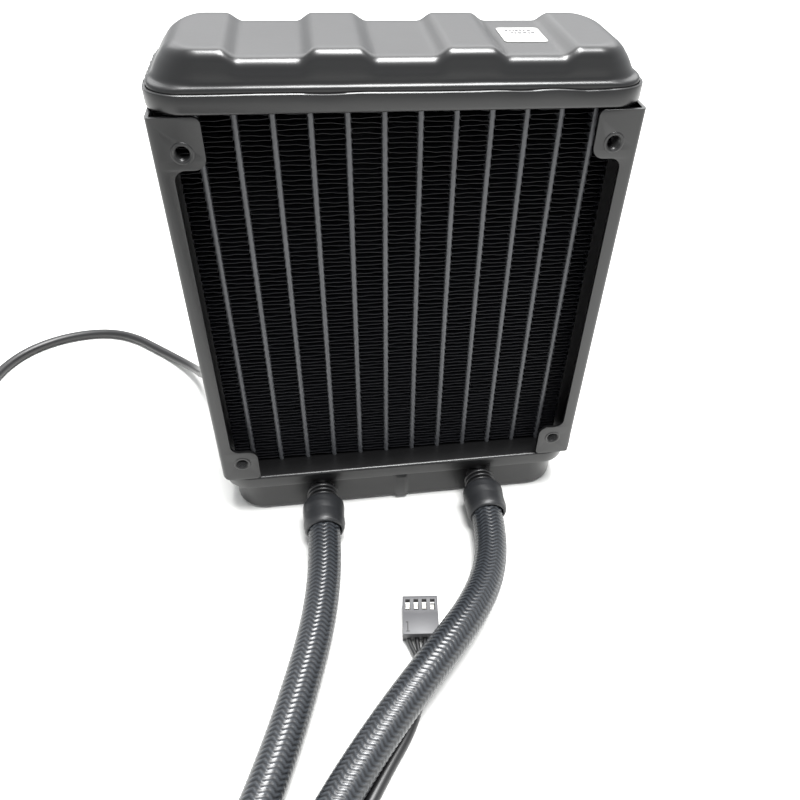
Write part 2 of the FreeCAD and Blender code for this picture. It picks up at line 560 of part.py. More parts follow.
def pump_impeller():
    """The wheel: a hub that holds the magnet, a disc and six curved vanes."""
    hub = ring(4.0, 1.05, (0, 0, 6.0), (0, 0, 1), 7.4)
    disc = ring(13.0, 3.5, (0, 0, 8.6), (0, 0, 1), 1.4)
    vanes = []
    for index in range(6):
        vane = ring(12.0, 11.0, (0, 9.0, 6.0), (0, 0, 1), 3.0)
        vane = vane.common(box(0.0, 14.0, -3.6, 9.0, 6.0, 9.0)).common(rod(12.6, (0, 0, 6), (0, 0, 1), 3.0))
        vane = vane.cut(rod(3.6, (0, 0, 6), (0, 0, 1), 3.0))
        vane.rotate(Vector(0, 0, 0), Vector(0, 0, 1), 60 * index)
        vanes.append(vane)
    return fuse([hub, disc, *vanes])


def pump_cap():
    """The lid, with a raised rim, a dished top and a lip that locates it in the housing."""
    top = HOUSING_TOP
    profile = [(0.0, top + 2.2), (26.0, top + 2.2), (27.5, top + 3.6), (30.6, top + 3.6), (PUMP_RADIUS, top + 2.4),
               (PUMP_RADIUS, top), (DRY_RADIUS, top), (DRY_RADIUS, top - 2.0), (DRY_RADIUS - 1.5, top - 2.0),
               (DRY_RADIUS - 1.5, top + 0.8), (0.0, top + 0.8)]
    corners = [Vector(radius, 0, z) for radius, z in profile]
    return Part.Face(Part.makePolygon(corners + corners[:1])).revolve(Vector(0, 0, 0), Vector(0, 0, 1), 360)


def mounting_bracket():
    """A ring round the pump with four arms, each with a hole on a square of 75 mm."""
    hoop = ring(PUMP_RADIUS + 4.0, PUMP_RADIUS, (0, 0, BRACKET_Z), (0, 0, 1), BRACKET_THICK)
    arms = []
    for index in range(4):
        arm = box(PUMP_RADIUS + 2.0, BOLT_CIRCLE, -5.0, 5.0, BRACKET_Z, BRACKET_Z + BRACKET_THICK)
        arm = arm.fuse(rod(5.0, (BOLT_CIRCLE, 0, BRACKET_Z), (0, 0, 1), BRACKET_THICK))
        arm = arm.cut(rod(2.0, (BOLT_CIRCLE, 0, BRACKET_Z - 1), (0, 0, 1), BRACKET_THICK + 2))
        arm.rotate(Vector(0, 0, 0), Vector(0, 0, 1), 45 + 90 * index)
        arms.append(arm)
    return fuse([hoop, *arms])


def thumb_screws():
    """Four shouldered thumb screws in the bracket's arms."""
    screws = []
    top = BRACKET_Z + BRACKET_THICK
    for index in range(4):
        profile = [(0.0, 5.0), (1.2, 5.0), (1.6, 5.6), (1.6, 14.0), (1.95, 14.0), (1.95, top), (4.2, top),
                   (4.2, top + 8.0), (3.4, top + 8.8), (0.0, top + 8.8)]
        corners = [Vector(radius, 0, z) for radius, z in profile]
        screw = Part.Face(Part.makePolygon(corners + corners[:1])).revolve(Vector(0, 0, 0), Vector(0, 0, 1), 360)
        screw.translate(Vector(BOLT_CIRCLE, 0, 0))
        screw.rotate(Vector(0, 0, 0), Vector(0, 0, 1), 45 + 90 * index)
        screws.append(screw)
    return Part.makeCompound(screws)


# ---------------------------------------------------------------- leads and connectors
PUMP_LEAD_MIDDLE = [(-64.0, -269.6, 22.8), (-53.6, -267.0, 18.4), (-45.0, -260.6, 12.4), (-39.2, -251.0, 7.0),
                    (-36.4, -239.0, 3.4), (-36.4, -225.0, 1.9), (-38.0, -210.0, 1.85), (-39.0, -195.0, 1.9),
                    (-38.8, -179.6, 1.85), (-36.8, -164.0, 1.9), (-32.6, -149.0, 1.85), (-27.0, -135.4, 1.9),
                    (-20.6, -122.6, 1.85), (-13.8, -111.4, 1.9), (-7.6, -101.6, 1.85), (-3.6, -91.6, 1.9)]


def pump_lead_route():
    """The pump lead, from the pump's side to the back of its connector."""
    angle = math.radians(PUMP_LEAD_ANGLE)
    start = tuple(pump_point(PUMP_RADIUS * math.cos(angle), PUMP_RADIUS * math.sin(angle), PUMP_LEAD_Z))
    end = tuple(connector_point(0.0, CONNECTOR_LENGTH + CONNECTOR_TAIL, LEAD_DIAMETER / 2 + 0.3))
    return [start, *PUMP_LEAD_MIDDLE, end]


def connector_point(x, back, z):
    """A point of the pump's connector: across it, back from its open end, and above the table."""
    turn = FreeCAD.Rotation(Vector(0, 0, 1), PUMP_CONNECTOR_TURN)
    return turn.multVec(Vector(x, -back, z)) + Vector(*PUMP_CONNECTOR_FRONT, 0)


def connector_housing():
    """A four-way socket along -Y from its open end, with a window on top over each way."""
    half = CONNECTOR_WIDTH / 2
    body = box(-half, half, -CONNECTOR_LENGTH, 0, 0.0, CONNECTOR_HEIGHT)
    tail = box(-2.2, 2.2, -CONNECTOR_LENGTH - CONNECTOR_TAIL, -CONNECTOR_LENGTH, 0.2, 4.4)
    body = body.fuse(tail)
    for way in range(4):
        x = WAY_PITCH * (way - 1.5)
        body = body.cut(box(x - 0.8, x + 0.8, -CONNECTOR_LENGTH + 1.5, 0.1, 1.4, 3.6))
        body = body.cut(box(x - 0.7, x + 0.7, WINDOW_BACK, WINDOW_FRONT, 3.5, CONNECTOR_HEIGHT + 0.1))
    return body.removeSplitter()


def connector_contacts():
    """The four metal contacts that lie in the connector's ways."""
    contacts = []
    for way in range(4):
        x = WAY_PITCH * (way - 1.5)
        spring = box(x - 0.75, x + 0.75, -CONNECTOR_LENGTH + 1.6, WINDOW_FRONT, 1.4, 1.7)
        catch = box(x - 0.6, x + 0.6, WINDOW_BACK + 0.5, WINDOW_FRONT - 0.5, 1.7, 3.9)
        contacts.append(spring.fuse(catch).removeSplitter())
    return Part.makeCompound(contacts)


def place_pump_connector(shape):
    """Carry a connector piece to where the pump's connector lies, between the hoses."""
    moved = shape.copy()
    turn = FreeCAD.Rotation(Vector(0, 0, 1), PUMP_CONNECTOR_TURN)
    moved.Placement = FreeCAD.Placement(Vector(*PUMP_CONNECTOR_FRONT, 0), turn)
    return moved


# From the duct's wall, out between the fan's flanges, down to the table and away to the left.
FAN_LEAD_EXIT_ANGLE = 39.1  # below the horizontal, on the duct's left
FAN_LEAD_MIDDLE = [(-55.4, 31.0, 32.8), (-63.4, 31.6, 26.8), (-68.6, 35.6, 20.0), (-71.8, 43.2, 13.0),
                   (-75.2, 52.8, 7.2), (-81.0, 62.0, 3.6), (-89.2, 71.2, 1.9), (-96.6, 77.8, 1.85),
                   (-104.2, 84.6, 1.9), (-114.6, 90.0, 1.85), (-127.0, 90.6, 1.9), (-139.8, 87.0, 1.85),
                   (-150.6, 79.0, 1.9), (-157.4, 67.0, 1.85), (-159.4, 53.0, 1.9), (-157.4, 39.6, 1.85),
                   (-153.4, 29.4, 1.9)]


def fan_lead_route():
    """The fan lead, out of the duct's left side, down and along the table to its coil."""
    angle = math.radians(FAN_LEAD_EXIT_ANGLE)
    radius = FAN_DUCT_RADIUS + FAN_DUCT_WALL
    start = (-radius * math.cos(angle), 31.0, FAN_CENTRE_Z - radius * math.sin(angle))
    last = (COIL_CENTRE[0] + COIL_RADIUS - 1.4, COIL_CENTRE[1] + 13.4, LEAD_DIAMETER / 2 + SMALL)
    end = (COIL_CENTRE[0] + COIL_RADIUS, COIL_CENTRE[1] + 5.0, LEAD_DIAMETER / 2 + SMALL)
    return [start, *FAN_LEAD_MIDDLE, last, end]


def fan_lead_coil():
    """The outer shape of the two turns of the put-away lead."""
    spread = LEAD_DIAMETER / 2 + 0.2
    outer, inner = COIL_RADIUS + spread, COIL_RADIUS - spread
    return ring(outer, inner, (*COIL_CENTRE, 0.0), (0, 0, 1), COIL_TURNS * LEAD_DIAMETER + 0.2)


def fan_lead_tail_route():
    """The lead's last stretch, off the top of the coil's second turn and into its connector."""
    x, y = COIL_CENTRE[0] + COIL_RADIUS, COIL_CENTRE[1]
    return [(x, y - 4.0, 5.5), (x - 0.4, y - 14.0, 4.4), (x - 1.4, y - 24.0, 3.0),
            (x - 3.0, y - 33.0, LEAD_DIAMETER / 2 + 0.3)]


def place_fan_connector(shape):
    """Carry a connector to the end of the fan lead's tail, its open end towards -Y."""
    x, y, _ = fan_lead_tail_route()[-1]
    moved = shape.copy()
    turn = FreeCAD.Rotation(Vector(0, 0, 1), 180)
    moved.Placement = FreeCAD.Placement(Vector(x, y - CONNECTOR_LENGTH - CONNECTOR_TAIL, 0), turn)
    return moved


def largest(shape):
    """The largest solid of a cut shape."""
    return max(shape.Solids, key=lambda solid: solid.Volume)


# ---------------------------------------------------------------- every piece
def export_radiator():
    """The tanks, header plates, core and side frames."""
    export("upper_tank", upper_tank())
    export("lower_tank", lower_tank())
    export("tank_divider", tank_divider())
    export("upper_header_plate", header_plate(HEADER_HIGH_BOTTOM, RIM_HIGH_TOP))
    export("lower_header_plate", header_plate(HEADER_LOW_TOP, RIM_LOW_BOTTOM))
    for number, x in enumerate(tube_centres(), 1):
        export(f"coolant_tube_{number:02d}", coolant_tube(x))
    export("cooling_fins", cooling_fins())
    export("core_side_plate_right", side_plate())
    export("core_side_plate_left", mirror_x(side_plate()))
    export("side_frame_right", side_frame())
    export("side_frame_left", mirror_x(side_frame()))
    export("tank_label", label())


def export_hoses():
    """The two hoses with their stubs and collars at both ends."""
    for side, name in ((-1, "left"), (1, "right")):
        export(f"radiator_stub_{name}",
               along_y(ringed_stub(STUB_INSIDE, STUB_LENGTH, 2.0), port_point(side * PORT_X, 0), port_direction()))
        export(f"radiator_collar_{name}",
               along_y(sleeve(COLLAR_END - COLLAR_START), port_point(side * PORT_X, COLLAR_START),
                       port_direction()))
        export(f"hose_{name}", cord_tube(f"hose_{name}", hose_route(side), HOSE_DIAMETER))
        collar = along_y(sleeve(PUMP_COLLAR_END - PUMP_COLLAR_START),
                         Vector(side * PUMP_PORT_X, PUMP_COLLAR_START, PUMP_PORT_Z), Vector(0, 1, 0))
        export(f"pump_collar_{name}", pump_place(collar))
        export(f"pump_stub_{name}", pump_place(pump_stub(side)))


def export_pump():
    """The pump head with its cold plate, bracket, lead and connector."""
    up = (0, 0, 1)
    export("cold_plate", pump_place(cold_plate()))
    screws = Part.makeCompound([plate_screw(turn, 1.5, 2.6) for turn in plate_screw_turns()])
    export("cold_plate_screws", pump_place(screws))
    export("pump_housing", pump_place(pump_housing()))
    export("housing_seal", pump_place(ring(22.2, 20.8, (0, 0, PLATE_THICK), up, 1.2)))
    export("pump_impeller", pump_place(pump_impeller()))
    export("impeller_shaft", pump_place(rod(1.0, (0, 0, 4.8), up, 10.2)))
    export("pump_stator", pump_place(toothed_core(20.0, 10.0, 6, (0, 0, DRY_FLOOR), up, 6.0)))
    export("pump_circuit_board", pump_place(rod(DRY_RADIUS - 2.0, (0, 0, DRY_FLOOR + 6.0), up, 1.6)))
    export("pump_cap", pump_place(pump_cap()))
    export("mounting_bracket", pump_place(mounting_bracket()))
    export("thumb_screws", pump_place(thumb_screws()))
    lead = cord_tube("pump_lead", pump_lead_route(), LEAD_DIAMETER)
    housing = place_pump_connector(connector_housing())
    lead = lead.cut(pump_place(rod(PUMP_RADIUS, (0, 0, 0), up, HOUSING_TOP))).cut(housing)
    export("pump_lead", largest(lead))
    export("pump_connector", housing)
    export("pump_connector_contacts", place_pump_connector(connector_contacts()))


def export_fan():
    """The fan on the radiator's back, with its motor, screws, lead and connector."""
    back = (0, 1, 0)
    export("fan_frame", fan_frame())
    export("fan_rotor", fan_rotor())
    export("fan_shaft", rod(FAN_SHAFT_RADIUS, (0, FAN_FRONT + 1.5, FAN_CENTRE_Z), back, 19.5))
    export("fan_magnet", ring(HUB_RADIUS - 1.2, HUB_RADIUS - 3.0, (0, FAN_FRONT + 6.0, FAN_CENTRE_Z), back, 12.0))
    export("fan_bearing", ring(4.0, FAN_SHAFT_RADIUS + SMALL, (0, FAN_FRONT + 7.0, FAN_CENTRE_Z), back, 13.0))
    export("fan_stator", toothed_core(15.5, 6.5, 4, (0, FAN_FRONT + 7.5, FAN_CENTRE_Z), back, 9.0))
    export("fan_circuit_board", ring(16.0, 6.5, (0, FAN_FRONT + 19.0, FAN_CENTRE_Z), back, 1.2))
    export("fan_screws", fan_screws())
    coil = fan_lead_coil()
    duct = rod(FAN_DUCT_RADIUS + FAN_DUCT_WALL, (0, FAN_FRONT, FAN_CENTRE_Z), back, FAN_DEPTH)
    lead = cord_tube("fan_lead", fan_lead_route(), LEAD_DIAMETER)
    export("fan_lead", largest(lead.cut(coil).cut(duct)))
    export("fan_lead_coil", coil)
    tail = cord_tube("fan_lead_tail", fan_lead_tail_route(), LEAD_DIAMETER)
    housing = place_fan_connector(connector_housing())
    export("fan_lead_tail", largest(tail.cut(coil).cut(housing)))
    export("fan_connector", housing)


def main():
    """Build every piece and write its STEP file."""
    os.makedirs("parts", exist_ok=True)
    export_radiator()
    export_hoses()
    export_pump()
    export_fan()


main()
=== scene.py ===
"""Looks of a closed-loop liquid cooling radiator with its fan, braided hoses and pump head.

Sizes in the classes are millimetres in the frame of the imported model: +X right, +Y back, +Z up, with the
origin on the table under the radiator.  Every mesh is scaled to metres once, in new_piece().
"""

from __future__ import annotations

import logging
import math
import random
from collections.abc import Callable, Iterable, Sequence
from dataclasses import dataclass
from enum import Enum

import bmesh
import bpy
import numpy as np
from mathutils import Matrix, Vector


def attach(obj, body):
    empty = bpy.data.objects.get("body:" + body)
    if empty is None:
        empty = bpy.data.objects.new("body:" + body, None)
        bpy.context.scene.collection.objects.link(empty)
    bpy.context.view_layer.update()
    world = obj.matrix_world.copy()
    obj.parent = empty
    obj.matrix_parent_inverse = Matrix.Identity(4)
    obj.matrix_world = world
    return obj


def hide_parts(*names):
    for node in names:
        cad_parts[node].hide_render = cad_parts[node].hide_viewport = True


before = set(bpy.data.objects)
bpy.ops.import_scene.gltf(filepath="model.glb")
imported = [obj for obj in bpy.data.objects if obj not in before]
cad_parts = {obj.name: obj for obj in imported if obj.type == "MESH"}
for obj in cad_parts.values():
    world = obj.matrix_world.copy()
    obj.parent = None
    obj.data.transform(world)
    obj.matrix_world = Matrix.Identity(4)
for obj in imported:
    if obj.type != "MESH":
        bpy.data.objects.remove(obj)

LOG = logging.getLogger("cooler")
MM = 0.001
ROOT, ROTOR = "radiator", "fan_rotor"
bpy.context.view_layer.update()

Spot = tuple[float, float]
Point = tuple[float, float, float]
Face = tuple[int, ...]
Mesh = tuple[list[Point], list[Face]]


# ---------------------------------------------------------------------------- materials
def to_linear(code: str) -> tuple[float, float, float, float]:
    """Turn an sRGB hex colour to linear.

    Args:
        code: six hex digits, such as "1a1a1c".

    Returns:
        Linear red, green and blue, and an alpha of one.
    """
    parts = [int(code[at : at + 2], 16) / 255 for at in (0, 2, 4)]
    red, green, blue = [c / 12.92 if c <= 0.04045 else ((c + 0.055) / 1.055) ** 2.4 for c in parts]
    return red, green, blue, 1.0


def add_node(tree: bpy.types.NodeTree, kind: str, settings: dict | None = None,
             links: dict | None = None) -> bpy.types.Node:
    """Add one shader node.

    Args:
        tree: the material's node tree.
        kind: the node's type, without its "ShaderNode" prefix.
        settings: values by property name, input name or input number.
        links: output sockets by input name or number.

    Returns:
        The new node.
    """
    node = tree.nodes.new(f"ShaderNode{kind}")
    for key, value in (settings or {}).items():
        if isinstance(key, str) and hasattr(node, key):
            setattr(node, key, value)
        else:
            node.inputs[key].default_value = value
    for key, socket in (links or {}).items():
        tree.links.new(socket, node.inputs[key])
    return node


class Surface(Enum):
    """How a surface was made, which settles the pattern that its finish draws."""

    ENAMELLED = "enamelled"
    SPRAYED = "sprayed"
    MOULDED = "moulded"
    BRUSHED = "brushed"
    WOVEN = "woven"
    PLAIN = "plain"


@dataclass(frozen=True)
class Finish:
    """One real finish: what the thing is made of, how its surface was made, and how it takes light."""

    name: str
    colour: str
    roughness: float
    surface: Surface
    grain_mm: float = 1.0
    relief_mm: float = 0.0
    metallic: float = 0.0
    ior: float = 1.5
    coat: float = 0.0
    variation: float = 0.0
    painted_highlight_colour: str = ""

    def material(self) -> bpy.types.Material:
        """Return this finish's material, made the first time it is asked for."""
        found = bpy.data.materials.get(self.name)
        return found or self._build()

    def _build(self) -> bpy.types.Material:
        """Make the material's nodes.

        Returns:
            The new material.
        """
        material = bpy.data.materials.new(self.name)
        material.use_nodes = True
        tree = material.node_tree
        shader = tree.nodes["Principled BSDF"]
        shader.inputs["Base Color"].default_value = to_linear(self.colour)
        shader.inputs["Roughness"].default_value = self.roughness
        shader.inputs["Metallic"].default_value = self.metallic
        if self.metallic == 0:
            shader.inputs["IOR"].default_value = self.ior
        if self.coat:
            shader.inputs["Coat Weight"].default_value = self.coat
            shader.inputs["Coat Roughness"].default_value = 0.2
        place = add_node(tree, "TexCoord").outputs["Object"]
        if self.surface is Surface.BRUSHED:
            stretch = {"Scale": (1.0, 14.0, 14.0)}
            place = add_node(tree, "Mapping", stretch, {"Vector": place}).outputs["Vector"]
        if self.surface is Surface.WOVEN:
            self._weave(tree, shader)
        elif self.surface is not Surface.PLAIN:
            self._grain(tree, shader, place)
        return material

    def _grain(self, tree: bpy.types.NodeTree, shader: bpy.types.Node, place: bpy.types.NodeSocket) -> None:
        """Draw the fine relief and the slow change of gloss and shade that a made surface has.

        Args:
            tree: the material's node tree.
            shader: its surface shader.
            place: the coordinates to draw in.
        """
        per_metre = 1 / (self.grain_mm * MM)
        fine = add_node(tree, "TexNoise", {"Scale": per_metre, "Detail": 3.0}, {"Vector": place})
        slow = add_node(tree, "TexNoise", {"Scale": per_metre / 18, "Detail": 2.0}, {"Vector": place})
        gloss = add_node(tree, "MapRange", {"To Min": self.roughness * 0.86, "To Max": self.roughness * 1.16},
                         {"Value": slow.outputs["Fac"]})
        tree.links.new(gloss.outputs["Result"], shader.inputs["Roughness"])
        if self.relief_mm:
            bump = add_node(tree, "Bump", {"Distance": self.relief_mm * MM, "Strength": 1.0},
                            {"Height": fine.outputs["Fac"]})
            tree.links.new(bump.outputs["Normal"], shader.inputs["Normal"])
        if self.variation:
            base = to_linear(self.colour)
            lighter = tuple(min(1.0, c * (1 + self.variation)) for c in base[:3]) + (1.0,)
            darker = tuple(c * (1 - self.variation) for c in base[:3]) + (1.0,)
            mix = add_node(tree, "Mix", {"data_type": "RGBA", 6: darker, 7: lighter},
                           {0: slow.outputs["Fac"]})
            tree.links.new(mix.outputs[2], shader.inputs["Base Color"])

    def _weave(self, tree: bpy.types.NodeTree, shader: bpy.types.Node) -> None:
        """Paint shade and highlight into a woven sleeve by how far each point stands up: painted shade
        between the yarns, a painted highlight and more gloss on them.

        Args:
            tree: the material's node tree.
            shader: its surface shader.
        """
        lift = add_node(tree, "Attribute", {"attribute_name": "yarn_lift"}).outputs["Fac"]
        mix = add_node(tree, "Mix", {"data_type": "RGBA", 6: to_linear(self.colour),
                                     7: to_linear(self.painted_highlight_colour)}, {0: lift})
        gloss = add_node(tree, "MapRange", {"To Min": self.roughness * 1.6, "To Max": self.roughness},
                         {"Value": lift})
        tree.links.new(mix.outputs[2], shader.inputs["Base Color"])
        tree.links.new(gloss.outputs["Result"], shader.inputs["Roughness"])


# Stoved black enamel over pressed steel: satin, with the faint orange peel of a sprayed coat.
ENAMEL = Finish("stoved_enamel_on_steel", "0b0b0c", 0.34, Surface.ENAMELLED, 1.6, 0.010, coat=0.15)
# The thin black dip over the tubes' fronts, painted greyer than the tanks: the grey is a painted sheen,
# standing in for the light that their rounded fronts reflect.
TUBE_PAINT = Finish("dipped_black_tube_painted_sheen", "434447", 0.42, Surface.SPRAYED, 0.5, 0.02,
                    variation=0.25)
# The same dip over folded fin sheet: blue-black, and darkened below any real paint as painted shade, standing
# in for the shade deep between the fins where little light comes back out.
FIN_PAINT = Finish("dipped_black_fin_sheet_painted_shade", "05060c", 0.55, Surface.SPRAYED, 0.4, 0.01, variation=0.3)
# Spark-eroded black nylon: the even, dull grain of moulded fan and pump bodies.
MOULDED_BLACK = Finish("spark_grained_black_nylon", "111112", 0.5, Surface.MOULDED, 0.35, 0.02, variation=0.1)
# Black ABS from a polished mould: glossy blades and lid.
GLOSSY_BLACK = Finish("polished_black_abs", "0d0d0e", 0.2, Surface.MOULDED, 3.0, 0.003, coat=0.3)
# Shrunk polyolefin sleeve: satin dark grey, a little uneven where the heat drew it in.
SHRINK = Finish("shrunk_polyolefin_sleeve", "1d1e20", 0.42, Surface.MOULDED, 2.2, 0.03, variation=0.12)
# Ribbed stub of black rubbery elastomer.
ELASTOMER = Finish("moulded_black_elastomer", "121213", 0.36, Surface.MOULDED, 0.8, 0.01)
# Woven sleeve of polyester monofilament: its colour runs from painted shade between the yarns to a painted
# highlight on their tops, and the tops are also glossier so that they glint.
BRAID = Finish("woven_polyester_painted_shade_and_highlight", "060608", 0.23, Surface.WOVEN, painted_highlight_colour="36393d")
# Extruded black jacket of a thin lead: soft satin.
JACKET = Finish("extruded_pvc_jacket", "161617", 0.4, Surface.MOULDED, 1.2, 0.01, variation=0.1)
# Black nylon of a small socket, painted mid grey: the grey is a painted highlight, standing in for the glare
# off its dull surface.
NYLON_PAINTED_GLARE = Finish("moulded_black_nylon_painted_glare", "4e4e50", 0.5, Surface.MOULDED, 0.3, 0.01, variation=0.06)
# Tinned brass contact: bright and slightly soft.
TIN = Finish("tinned_brass_contact", "d8d6d0", 0.28, Surface.BRUSHED, 0.3, 0.004, metallic=1.0)
# White coated label paper, toned down so that its print still shows under the lamps.
PAPER = Finish("coated_label_paper", "a2a2a0", 0.6, Surface.SPRAYED, 0.3, 0.004, variation=0.02)
# Thermal print: a flat dark grey.
PRINT = Finish("thermal_print", "3c3c3e", 0.7, Surface.PLAIN)
# Lapped copper: warm, with fine straight lines from the lap.
COPPER = Finish("lapped_copper", "c98b6a", 0.24, Surface.BRUSHED, 0.25, 0.004, metallic=1.0, variation=0.08)
# Black nickel plate on pressed steel.
BLACK_NICKEL = Finish("black_nickel_on_steel", "3a3a3d", 0.3, Surface.BRUSHED, 0.4, 0.003, metallic=1.0)
# Bright nickel plate on turned steel.
NICKEL = Finish("nickel_on_turned_steel", "b9b8b4", 0.25, Surface.BRUSHED, 0.3, 0.004, metallic=1.0)
# Black zinc on fan screws.
BLACK_ZINC = Finish("black_zinc_on_steel", "27272a", 0.36, Surface.BRUSHED, 0.3, 0.003, metallic=1.0)
# Ground steel shafts.
GROUND_STEEL = Finish("ground_steel", "a9aaac", 0.2, Surface.BRUSHED, 0.2, 0.002, metallic=1.0)
# Enamelled copper wire over a sheet-steel core.
WINDING = Finish("enamelled_copper_wire", "8a4a22", 0.35, Surface.BRUSHED, 0.3, 0.03, metallic=1.0)
# Circuit board under green solder resist.
BOARD = Finish("green_solder_resist", "0f3a22", 0.3, Surface.MOULDED, 0.8, 0.006, coat=0.4)
# Sintered ferrite of a ring magnet.
FERRITE = Finish("sintered_ferrite", "2b2b2c", 0.6, Surface.MOULDED, 0.2, 0.02)
# Oil-filled sintered bronze.
BRONZE = Finish("sintered_bronze", "8c6a3a", 0.4, Surface.MOULDED, 0.2, 0.02, metallic=1.0)
# White acetal wheel of the pump.
ACETAL = Finish("moulded_white_acetal", "d9d8d2", 0.4, Surface.MOULDED, 0.5, 0.006)
# Black nitrile seal.
NITRILE = Finish("moulded_nitrile", "141414", 0.5, Surface.MOULDED, 0.4, 0.006)
# Bare brazed sheet inside the tank.
BRAZED = Finish("brazed_aluminium_sheet", "8e8e8c", 0.45, Surface.BRUSHED, 0.4, 0.004, metallic=1.0)


# ---------------------------------------------------------------------------- mesh tools
def loft(rings: Sequence[Sequence[Point]], cap_first: bool = False, cap_last: bool = False,
         closed: bool = False) -> Mesh:
    """Join rings of equal length into a skin.

    Args:
        rings: loops of points, each as long as the first.
        cap_first: close the first ring with a face.
        cap_last: close the last ring with a face.
        closed: join the last ring to the first.

    Returns:
        Points and faces.
    """
    count = len(rings[0])
    points = [tuple(point) for ring in rings for point in ring]
    faces: list[Face] = []
    last = len(rings) if closed else len(rings) - 1
    for row in range(last):
        here, there = row * count, (row + 1) % len(rings) * count
        for at in range(count):
            after = (at + 1) % count
            faces.append((here + at, here + after, there + after, there + at))
    if cap_first:
        faces.append(tuple(range(count))[::-1])
    if cap_last:
        start = (len(rings) - 1) * count
        faces.append(tuple(range(start, start + count)))
    return points, faces


def merge(meshes: Iterable[Mesh]) -> Mesh:
    """Put several meshes into one, as separate shells."""
    points: list[Point] = []
    faces: list[Face] = []
    for more_points, more_faces in meshes:
        start = len(points)
        points += more_points
        faces += [tuple(start + at for at in face) for face in more_faces]
    return points, faces


def moved(mesh: Mesh, matrix: Matrix) -> Mesh:
    """Carry a mesh by a matrix in millimetres."""
    return [tuple(matrix @ Vector(point)) for point in mesh[0]], mesh[1]


def smoothstep(value: float) -> float:
    """Ease from 0 to 1 as value goes from 0 to 1."""
    value = min(1.0, max(0.0, value))
    return value * value * (3 - 2 * value)


def rounded_outline(half_x: float, half_y: float, corner: float, outset: float = 0.0, side_steps: int = 12,
                    corner_steps: int = 8) -> list[Spot]:
    """Return the points of a rounded rectangle, anticlockwise from its right side.

    Args:
        half_x: half its width.
        half_y: half its depth.
        corner: its corner radius.
        outset: how far outside that outline the points lie, no less than minus the radius.
        side_steps: spans along each side.
        corner_steps: spans round each corner.

    Returns:
        The points; their number doesn't depend on the outset.
    """
    radius = corner + outset
    spots = []
    for quarter, (sx, sy) in enumerate(((1, 1), (-1, 1), (-1, -1), (1, -1))):
        centre = Vector((sx * (half_x - corner), sy * (half_y - corner)))
        for step in range(corner_steps + 1):
            angle = math.pi / 2 * (quarter + step / corner_steps)
            spots.append(centre + Vector((math.cos(angle), math.sin(angle))) * radius)
    outline = []
    per_corner = corner_steps + 1
    for quarter in range(4):
        outline += spots[quarter * per_corner : (quarter + 1) * per_corner]
        start = spots[(quarter + 1) * per_corner - 1]
        end = spots[(quarter + 1) % 4 * per_corner]
        outline += [start.lerp(end, step / side_steps) for step in range(1, side_steps)]
    return [(spot.x, spot.y) for spot in outline]


def arc(centre: Spot, radius: float, start: float, sweep: float, steps: int) -> list[Spot]:
    """Return evenly spaced points of an arc.

    Args:
        centre: its centre.
        radius: its radius.
        start: the angle of its first point, in degrees from the first axis.
        sweep: how far it turns, in degrees; less than zero is clockwise.
        steps: its spans.

    Returns:
        The points, both ends included.
    """
    angles = [math.radians(start + sweep * step / steps) for step in range(steps + 1)]
    return [(centre[0] + radius * math.cos(angle), centre[1] + radius * math.sin(angle)) for angle in angles]


def turned(profile: Sequence[Spot], segments: int = 48) -> Mesh:
    """Turn (radius, height) points about the Z axis.

    Args:
        profile: the section; a radius of zero closes an end.
        segments: flats round the axis.

    Returns:
        Points and faces.
    """
    rings = []
    for radius, height in profile:
        ring = [(radius * math.cos(turn), radius * math.sin(turn), height)
                for turn in (math.tau * at / segments for at in range(segments))]
        rings.append(ring)
    return loft(rings)


def softened(profile: Sequence[Spot], radius: float, steps: int = 3) -> list[Spot]:
    """Round the inner corners of an open profile with arcs.

    Args:
        profile: the corners.
        radius: the wanted arc radius, made smaller where a side is short.
        steps: spans in each arc.

    Returns:
        The softened profile.
    """
    corners = [Vector(point) for point in profile]
    soft = [corners[0]]
    for before, corner, after in zip(corners, corners[1:], corners[2:]):
        back, ahead = before - corner, after - corner
        reach = min(radius, back.length * 0.45, ahead.length * 0.45)
        start, end = corner + back.normalized() * reach, corner + ahead.normalized() * reach
        for step in range(steps + 1):
            share = step / steps
            soft.append(start.lerp(corner, share).lerp(corner.lerp(end, share), share))
    soft.append(corners[-1])
    return [(point.x, point.y) for point in soft]


def along(start: Vector, direction: Vector) -> Matrix:
    """The matrix that carries the Z axis from the origin to start, along direction."""
    return Matrix.Translation(start) @ direction.to_track_quat("Z", "Y").to_matrix().to_4x4()


def block(low: Point, high: Point) -> Mesh:
    """A plain box, for use with a bevel."""
    x, y, z = zip(low, high)
    ring_low = [(x[0], y[0], z[0]), (x[1], y[0], z[0]), (x[1], y[1], z[0]), (x[0], y[1], z[0])]
    ring_high = [(px, py, z[1]) for px, py, _ in ring_low]
    return loft([ring_low, ring_high], True, True)


